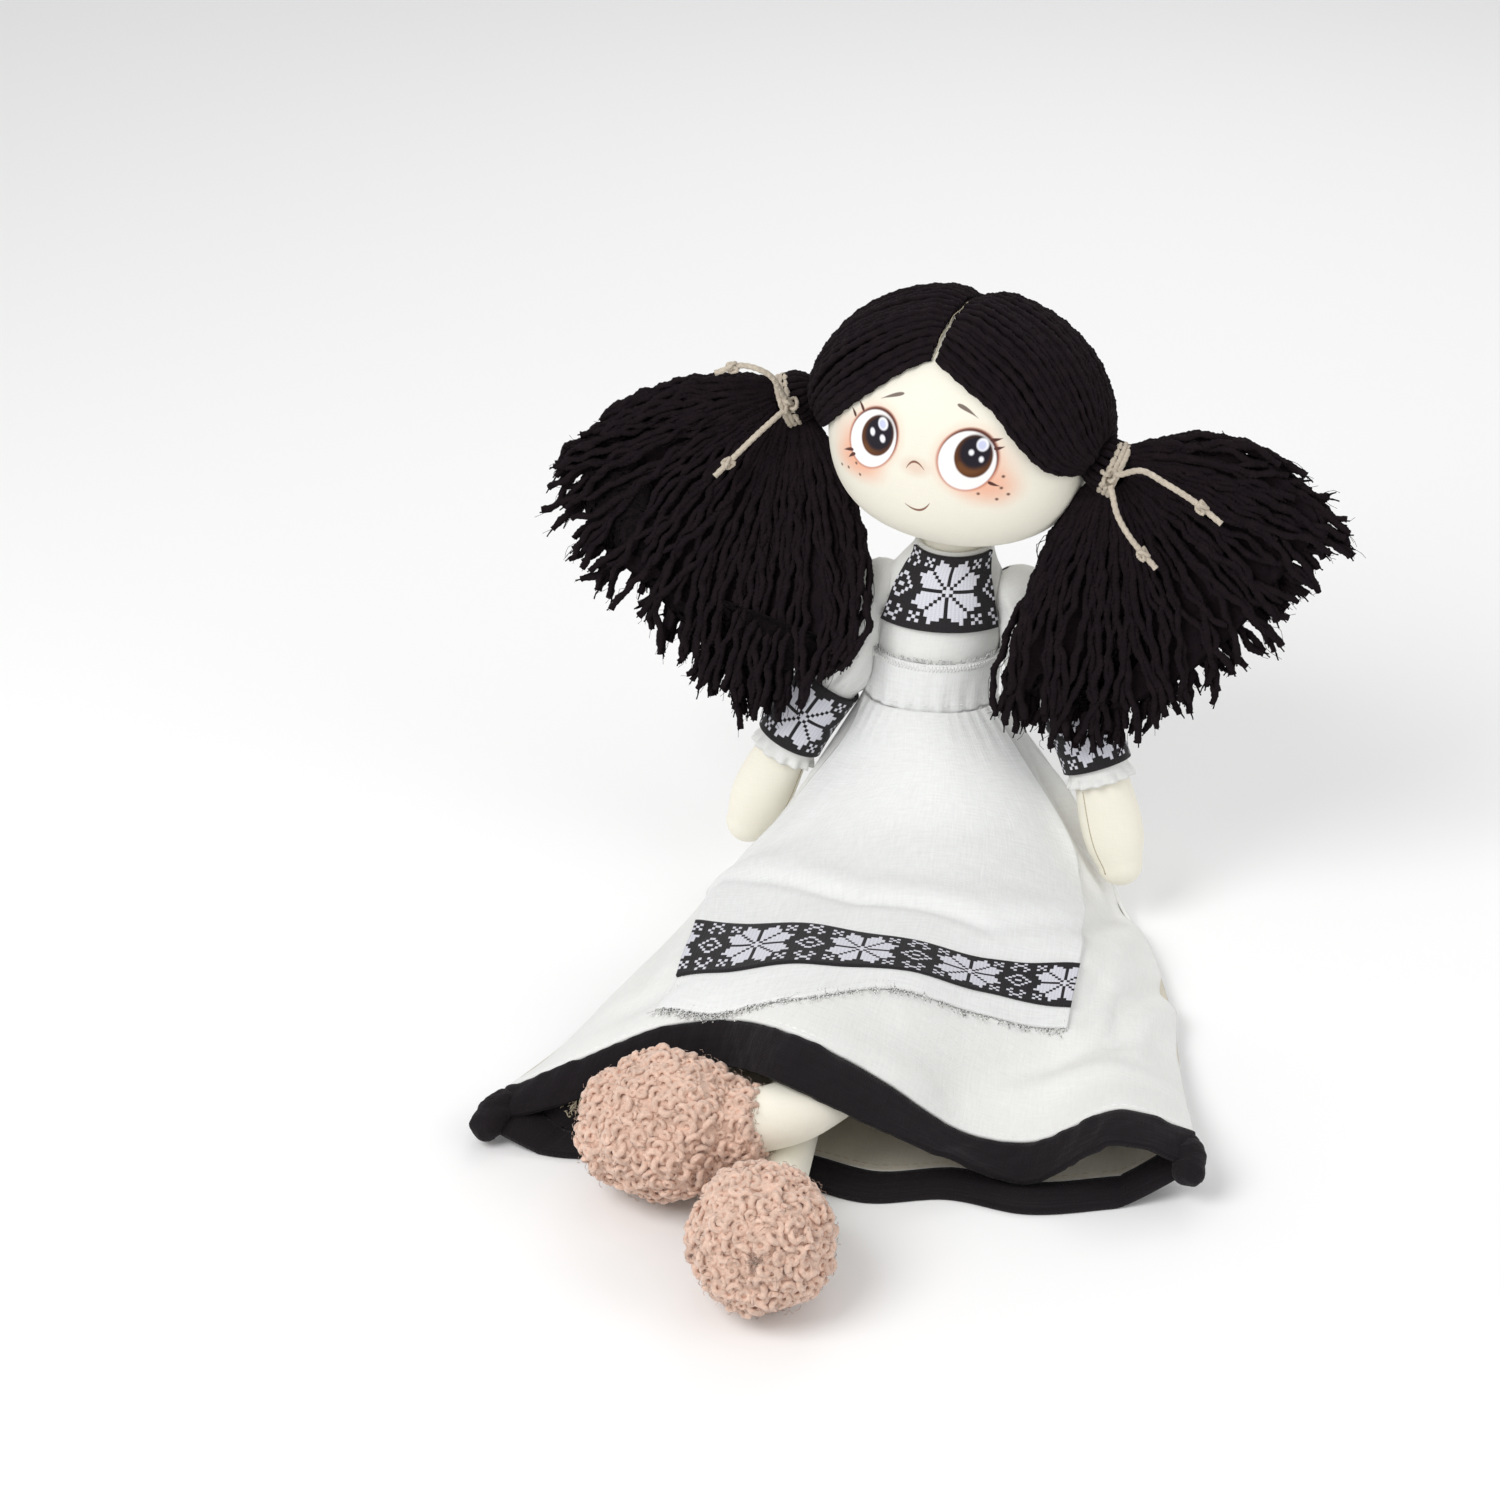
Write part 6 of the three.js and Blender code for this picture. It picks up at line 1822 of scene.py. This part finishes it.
class DOLL_OT_skirt(bpy.types.Operator):
    """Lays out the skirt and its black binding"""
    bl_idname = "doll.skirt"
    bl_label = "Skirt and binding"

    def execute(self, context):
        inset = 0.004
        cloth("skirt_front_cloth", front_at, -CLOTH / 2, CLOTH / 2, 200, 190, "dress", "skirt",
              (inset, 1 - inset, 0, HEM_SHARE), dress_folds,
              instead=["skirt_front"])
        # The back panel's upper side is the skirt's inside, given the darker lining tone as partly painted
        # shade
        cloth("skirt_back_cloth", back_at, -CLOTH / 2, CLOTH / 2, 170, 150, "dress", "skirt",
              (0, 1, 0, HEM_SHARE), instead=["skirt_back"], other="shaded_lining")
        cloth("binding_front", front_at, -BINDING / 2, BINDING / 2, 200, 14, "binding", "skirt",
              (inset, 1 - inset, HEM_START, 1), binding_folds,
              instead=["hem_band_front"])
        cloth("binding_back", back_at, -CLOTH / 2, BINDING - CLOTH / 2, 170, 14, "binding", "skirt",
              (0, 1, HEM_START, 1), instead=["hem_band_back"])
        for side, seam in (("right", 0.0), ("left", 1.0)):
            v = np.linspace(HEM_START + 0.012, 0.990, 12)
            u = np.full_like(v, abs(seam - 0.012))
            middle = (front_at(u, v) + back_at(u, v)) / 2
            middle[:, 1] -= np.linspace(0, 2.5, 12)
            middle[:, 2] = np.maximum(middle[:, 2], 5.6)
            roll = Path(middle)
            rows = np.array([[0, 3.2, 3.4], [roll.length * 0.45, 4.8, 5.0], [roll.length, 5.6, 5.2]])
            points, faces, flat = limb_mesh(roll, rows, (0, 0, 1), 36, 0.8, (2.5, 4.6))
            points = points + unit(points - points.mean(axis=0)) * (ripple(points, 19, 6, 2) * 0.5)[:, None]
            points[:, 2] = np.maximum(points[:, 2], 0.4)
            solid(f"binding_corner_{side}", points, faces, "binding", "skirt", flat)

        def turned_in(u, v):
            """The binding folded inwards at the corner, from the front edge to the back one."""
            u, v = level(u, v)
            seam = mix(0.012, TURNED_IN, u)
            front, back = front_at(seam, 0.975), back_at(seam, HEM_START)
            p = mix(front, back, v[:, None])
            p[:, 1] += 2.5 * np.sin(np.pi * v)
            p[:, 2] = np.maximum(p[:, 2], 1.6)
            return p

        cloth("binding_turned_in", turned_in, -0.6, 0.6, 50, 24, "binding", "skirt",
              lift=lambda u, v, p: ripple(p, 4, 9, 2) * 0.8)
        rng = np.random.default_rng(8)
        frays = []
        for _ in range(LINING_FRAYS):
            walk = np.cumsum(rng.uniform(-1.0, 1.0, (8, 3)) + [0, 0, -0.35], axis=0)
            place = turned_in(rng.uniform(0.40, 0.62, 1), rng.uniform(0.1, 0.5, 1))[0]
            frays.append(place + [0, -1.4, 0.9] + walk)
        threads("lining_frays", frays, 0.4, "seam thread", "skirt", 0.7, 2.0, 1.0, 4)
        u, v = np.linspace(0.17, 0.225, 30), np.linspace(0.982, 0.945, 30)
        p = front_at(u, v)
        p[:, 2] += BINDING / 2 + binding_folds(u, v, p)
        stitches("binding_tacks", [p], 3.6, 1.4, 0.55, "white thread", "skirt")
        u = np.linspace(0.03, 0.97, 160)
        for name, at, v, height, kind in (
                ("binding_stitches_front", front_at, HEM_SHARE - 0.012, CLOTH / 2, "white thread"),
                ("binding_stitches_back", back_at, HEM_SHARE - 0.014, CLOTH / 2, "seam thread")):
            p = at(u, np.full_like(u, v))
            if at is front_at:
                p[:, 2] += height + dress_folds(u, v, p)
            else:
                p[:, 2] += height
            stitches(name, [p], 3.2, 2.3, 0.5, kind, "skirt")
        return {"FINISHED"}


class DOLL_OT_apron(bpy.types.Operator):
    """Lays the apron with its frayed hem and star ribbon over the skirt"""
    bl_idname = "doll.apron"
    bl_label = "Apron and ribbon"

    def execute(self, context):
        low = CLOTH / 2 + 1.5 * GAP
        thick = 0.9
        cloth("apron_cloth", apron_at, low, low + thick, 150, 150, "apron", "skirt", lift=dress_folds,
              instead=["apron_panel"])
        rng = np.random.default_rng(21)
        reach = settings("cloth").fringe / MM
        lines = []
        for k in range(FRINGE_THREADS):
            s = np.clip((k + rng.uniform(-0.6, 0.6)) / FRINGE_THREADS, 0.001, 0.999)
            base = apron_at(np.full(2, s), np.array([0.985, 1.0]))
            direction = unit(base[1] - base[0])
            aside = np.cross(direction, [0, 0, 1])
            length_here = reach * rng.uniform(0.4, 1.3)
            t = np.linspace(0, 1, 5)[:, None]
            bend = aside * rng.uniform(-0.6, 0.6) + np.array([0, 0, rng.uniform(-0.12, 0.10)])
            start = base[0] + np.array([0, 0, low + thick * rng.uniform(0.5, 1.0)])
            start[2] += float(dress_folds(None, None, base[:1])[0])
            lines.append(start + (direction * t + bend * t**2) * (length_here + 2.2))
        threads("apron_fringe", lines, 0.5, "white thread", "skirt", 1.2, 2.0, 1.0, 6)
        for side_s, name in ((0.012, "left"), (0.988, "right")):
            t = np.linspace(0.02, 0.99, 120)
            p = apron_at(np.full_like(t, side_s), t)
            p[:, 2] += low + thick + dress_folds(None, None, p) * 0.9
            stitches(f"apron_edge_stitches_{name}", [p], 3.0, 2.1, 0.45, "white thread", "skirt")
        star = ribbon_finish("Apron ribbon", APRON_STAR)
        over = low + thick + GAP / 2
        cloth("apron_star_ribbon", apron_ribbon_at, over, over + thick, 150, 34, "ribbon", "skirt",
              (0, 1, 0.045, 0.955), dress_folds, (APRON_RIBBON_LENGTH, WOVEN_WIDTH),
              ["apron_ribbon"], finish_as=star)
        return {"FINISHED"}


ARM_ROWS = np.array(ARM_ROW_SHARES[:-1] + [[0.93, 1.20, 0.92], [1.01, 0.93, 0.74]]) * [
    ARM_LENGTH, ARM_RADIUS, ARM_RADIUS]
HAND_RISE = 8
SLEEVE_ROWS = np.array(
    [[-SLEEVE_DOME * k, SLEEVE_DOME * math.sqrt(1 - k * k)] for k in (0.98, 0.85, 0.5)]
    + [[s * CUFF_START, r * SLEEVE_DOME] for s, r in PUFF_SHARES]
    + [[CUFF_START, CUFF_RADIUS], [CUFF_START + RIBBON_WIDTH / 2, CUFF_RADIUS],
       [CUFF_END, CUFF_RADIUS + 0.1], [CUFF_END + 4.5, CUFF_RADIUS + 1.2]])


class DOLL_OT_arms(bpy.types.Operator):
    """Stuffs the arms and sews their sleeves and ribbon cuffs"""
    bl_idname = "doll.arms"
    bl_label = "Arms and sleeves"

    def execute(self, context):
        for side in SIDES:
            path, body, wide = arm_path(side), f"arm_{side}", ARM_SIDE[side]
            points, faces, flat = limb_mesh(path, ARM_ROWS, wide, 64, 1.2, (0, HAND_RISE))
            points = clear_of_dress(points, side)
            piece = solid(f"arm_{side}_stuffed", points, faces, "skin", body, flat, [body])
            s = np.linspace(CUFF_END + 6, ARM_ROWS[-1, 0] + 2, 40)
            line = on_limb(path, ARM_ROWS, wide, s, np.full_like(s, HAND_SEAM[side]), 0.02)
            threads(f"hand_seam_{side}", [line], 0.42, "seam thread", body, 0.6, 2.0, 0.9, 5)

            def folds(s, q, side=side):
                top = ease((s + 9) / 12) * ease((CUFF_START + 1 - s) / 7)
                long_folds = 0.55 * np.sin(9 * q + 0.05 * s) + 0.3 * np.sin(15 * q + 1.3)
                gather = 0.5 * np.sin(23 * q) * np.exp(-((s - CUFF_START + 3) / 4.5) ** 2)
                frill = ease((s - CUFF_END - 0.4) / 3) * (0.85 * np.sin(13 * q + 0.4))
                return np.where(s < CUFF_START + 1, top * (long_folds + gather), 0) + frill

            points, faces, flat = sleeve_mesh(path, SLEEVE_ROWS, wide, 1.0, 150, 0.8, folds)
            points = clear_of_dress(points, side)
            size = (2 * math.pi * SLEEVE_DOME * 1.15, SLEEVE_ROWS[-1, 0] + SLEEVE_DOME)
            tube_of_cloth(f"sleeve_{side}_cloth", points, faces, flat, "dress", body, size,
                          [f"sleeve_{side}"])
            rows = np.array([row for row in SLEEVE_ROWS if CUFF_START <= row[0] <= CUFF_END])
            rows = rows + [0, GAP + TRIM]
            trim = (RIBBON_WIDTH - WOVEN_WIDTH) / 2
            rows[0, 0], rows[-1, 0] = rows[0, 0] + trim, rows[-1, 0] - trim
            points, faces, flat = sleeve_mesh(path, rows, wide, TRIM, 120, 0.8)
            points = clear_of_dress(points, side)
            girth = 2 * math.pi * (CUFF_RADIUS + GAP + TRIM)
            star = ribbon_finish(f"Cuff ribbon {side}", CUFF_STAR[side])
            tube_of_cloth(f"cuff_star_ribbon_{side}", points, faces, flat, "ribbon", body,
                          (girth, WOVEN_WIDTH), [f"cuff_ribbon_{side}"], star)
        return {"FINISHED"}


def leg_rows(side, more):
    """Distance down the leg and radius; the foot grows where it fills its bootie."""
    path = leg_path(side)
    end, r = path.length, SHIN_RADIUS[side]
    rows = [[0, HIP_RADIUS], [0.15 * LEG_LENGTH, HIP_RADIUS * (1 - 0.018)], [0.35 * LEG_LENGTH, 1.03 * r]]
    rows += [[end - s * BOOTIE["length"], r + swell * more] for s, swell in (
        (1.38, 0), (1.02, 0), (0.76, -0.05), (0.53, 0.1), (0.31, 0.65), (0.09, 1), (-0.09, 0.75))]
    return path, np.array(rows)


LIMB_STATIONS, LIMB_END_STATION = 160, 125


def outside_limb(points, path, table, room):
    """Points moved out to at least that far from a round limb, apart from those at its end."""
    s = np.linspace(0, path.length, LIMB_STATIONS)
    line, _ = path.at(s)
    away = points[:, None, :] - line[None, :, :]
    gap = np.linalg.norm(away, axis=2)
    nearest = gap.argmin(axis=1)
    each = np.arange(len(points))
    need = np.interp(s[nearest], table[:, 0], table[:, 1]) + room
    out = np.maximum(1, need / np.maximum(gap[each, nearest], 1e-6))
    inner = (nearest < LIMB_END_STATION) & (nearest > 0)
    return np.where(inner[:, None], line[nearest] + away[each, nearest] * out[:, None], points)


BOOTIE_ROW_SHARES = [[0, 0], [0.13, 0.13], [0.29, 0.66], [0.49, 0.92], [0.69, 1], [0.87, 0.84], [1, 0.56]]
BOOTIE_AXIS_SHARES = [-0.71, -0.44, 0, 0.31]
FOOT_SWELL = 4


class DOLL_OT_legs(bpy.types.Operator):
    """Stuffs the legs and knits their booties"""
    bl_idname = "doll.legs"
    bl_label = "Legs and booties"

    def execute(self, context):
        look = settings("bootie")
        for side in SIDES:
            body = f"leg_{side}"
            path, leg_table = leg_rows(side, FOOT_SWELL)
            rises = (HIP_RADIUS, 0.9 * SHIN_RADIUS[side])
            points, faces, flat = limb_mesh(path, leg_table[:, [0, 1, 1]], (0, 0, 1), 56, 1.5, rises)
            leg = solid(f"leg_{side}_stuffed", points, faces, "skin", body, flat, [body])
            bootie_length, rim, toe = BOOTIE["length"], BOOTIE["rim"], BOOTIE["toe"][side]
            middle = path.at(path.length)[0][0]
            ankle = path.at(path.length - 0.67 * bootie_length)[0][0]
            axis = unit(middle - ankle)
            shift = np.array([0, -1.5 if side == "left" else 0, 0])
            bootie = Path([middle + shift + axis * share * bootie_length for share in BOOTIE_AXIS_SHARES])
            inset = look.curl / MM * 0.5 + (2.0 if side == "left" else 1.2)
            rows = np.array([[s * bootie_length, mix(rim, toe, g) - inset, mix(rim, toe, g) - inset]
                             for s, g in BOOTIE_ROW_SHARES])
            if side == "right":
                rows[:, 0] *= 1 - 0.13 * rows[:, 0] / bootie_length
            toe_rise = rim * (0.74 if side == "left" else 0.45)
            points, faces, flat = limb_mesh(bootie, rows, (0, 0, 1), 40, 2.2, (rim / 7, toe_rise))
            piece = new_piece(f"bootie_{side}_knit", points, faces, finish("knit"), None)
            points = np.array([v.co for v in piece.data.vertices]) / MM
            centre = points.mean(axis=0)
            points = points + unit(points - centre) * (ripple(points, 15, 17, 2) * 1.1)[:, None]
            points = outside_limb(points, path, leg_table, 0.9)
            points[:, 2] = np.maximum(points[:, 2], 2.4)
            piece.data.vertices.foreach_set("co", (points * MM).ravel())
            piece.data.update()
            grown(piece, tree_of("curl"), {
                "Spacing": look.spacing, "Curl": look.curl, "Strand": look.strand, "Seed": 5 + SIGN[side],
                "Finish": finish("knit")})
            place_on(piece, body, "knit", [f"bootie_{side}"])
            rng = np.random.default_rng(44)
            fuzz = []
            for k in rng.integers(0, len(points), FUZZ_THREADS):
                outward = unit(points[k] - points.mean(axis=0))
                aside = unit(np.cross(outward, rng.normal(size=3)))
                t = np.linspace(0, 1, 6)[:, None]
                start = points[k] + rng.uniform(-1, 1, 3) + outward * 1.2
                fuzz.append(start + outward * 0.9 * np.sin(np.pi * 0.8 * t) + aside * t * rng.uniform(1, 2.6))
            threads(f"bootie_{side}_fuzz", fuzz, 0.22, "knit", body, 1.0, 2.0, 1.0, 3)
        return {"FINISHED"}


FLOOR_HALF, FLOOR_LEVEL = 6000, -0.35
# place, width in metres and share of the key light's power
LAMPS = {"key_lamp": ((-0.55, -0.75, 0.95), 0.7, 1), "side_lamp": ((0.9, -0.35, 0.6), 0.8, 0.25),
         "back_lamp": ((0.1, 0.8, 0.9), 0.8, 0.3)}
LAMPS_AIM = Vector((0, -0.03, 0.1))


class DOLL_OT_studio(bpy.types.Operator):
    """Sets the pale floor and soft studio light"""
    bl_idname = "doll.studio"
    bl_label = "Floor and light"

    def execute(self, context):
        look = settings("studio")
        corners = [(x * FLOOR_HALF, y * FLOOR_HALF, FLOOR_LEVEL)
                   for x, y in ((-1, -1), (1, -1), (1, 1), (-1, 1))]
        floor = new_piece("floor", corners, [(0, 1, 2, 3)], smooth=False)
        material = bpy.data.materials.new("Pale floor")
        material.use_nodes = True
        surface = material.node_tree.nodes["Principled BSDF"]
        surface.inputs["Base Color"].default_value = (*look.floor, 1)
        surface.inputs["Roughness"].default_value = 0.9
        surface.inputs["Specular IOR Level"].default_value = 0.1
        floor.data.materials.append(material)
        for name, (place, size, share) in LAMPS.items():
            data = bpy.data.lights.new(name, "AREA")
            data.shape, data.size, data.energy = "DISK", size, look.key * share
            lamp = bpy.data.objects.new(name, data)
            bpy.context.scene.collection.objects.link(lamp)
            lamp.location = place
            lamp.rotation_euler = (LAMPS_AIM - lamp.location).to_track_quat("-Z", "Y").to_euler()
        world = bpy.data.worlds.new("White surroundings")
        bpy.context.scene.world = world
        world.use_nodes = True
        context.scene.view_settings.view_transform = "Standard"
        back = world.node_tree.nodes["Background"]
        back.inputs["Color"].default_value = (1, 1, 1, 1)
        back.inputs["Strength"].default_value = look.fill
        return {"FINISHED"}


OPERATORS = (DOLL_OT_camera, DOLL_OT_tie_tails, DOLL_OT_body, DOLL_OT_head, DOLL_OT_hair, DOLL_OT_pigtails,
             DOLL_OT_ties, DOLL_OT_bodice, DOLL_OT_skirt, DOLL_OT_apron, DOLL_OT_arms, DOLL_OT_legs,
             DOLL_OT_studio)


class DOLL_PT_panel(bpy.types.Panel):
    """Lists the doll's sizes, colours and pieces"""
    bl_label = "Rag doll"
    bl_space_type = "VIEW_3D"
    bl_region_type = "UI"
    bl_category = "Rag doll"

    def draw(self, context):
        for name, group in SETTINGS.items():
            box = self.layout.box()
            box.label(text=group.__doc__)
            for field in group.__annotations__:
                box.prop(getattr(context.scene, name), field)
        for operator in OPERATORS:
            self.layout.operator(operator.bl_idname)


CLASSES = (*SETTINGS.values(), *OPERATORS, DOLL_PT_panel)


def register():
    for item in CLASSES:
        bpy.utils.register_class(item)
    for name, group in SETTINGS.items():
        setattr(bpy.types.Scene, name, PointerProperty(type=group))


def unregister():
    for name in SETTINGS:
        delattr(bpy.types.Scene, name)
    for item in reversed(CLASSES):
        bpy.utils.unregister_class(item)


def main():
    register()
    for operator in OPERATORS:
        group, name = operator.bl_idname.split(".")
        getattr(getattr(bpy.ops, group), name)()
    bpy.context.view_layer.update()


if __name__ == "__main__":
    main()
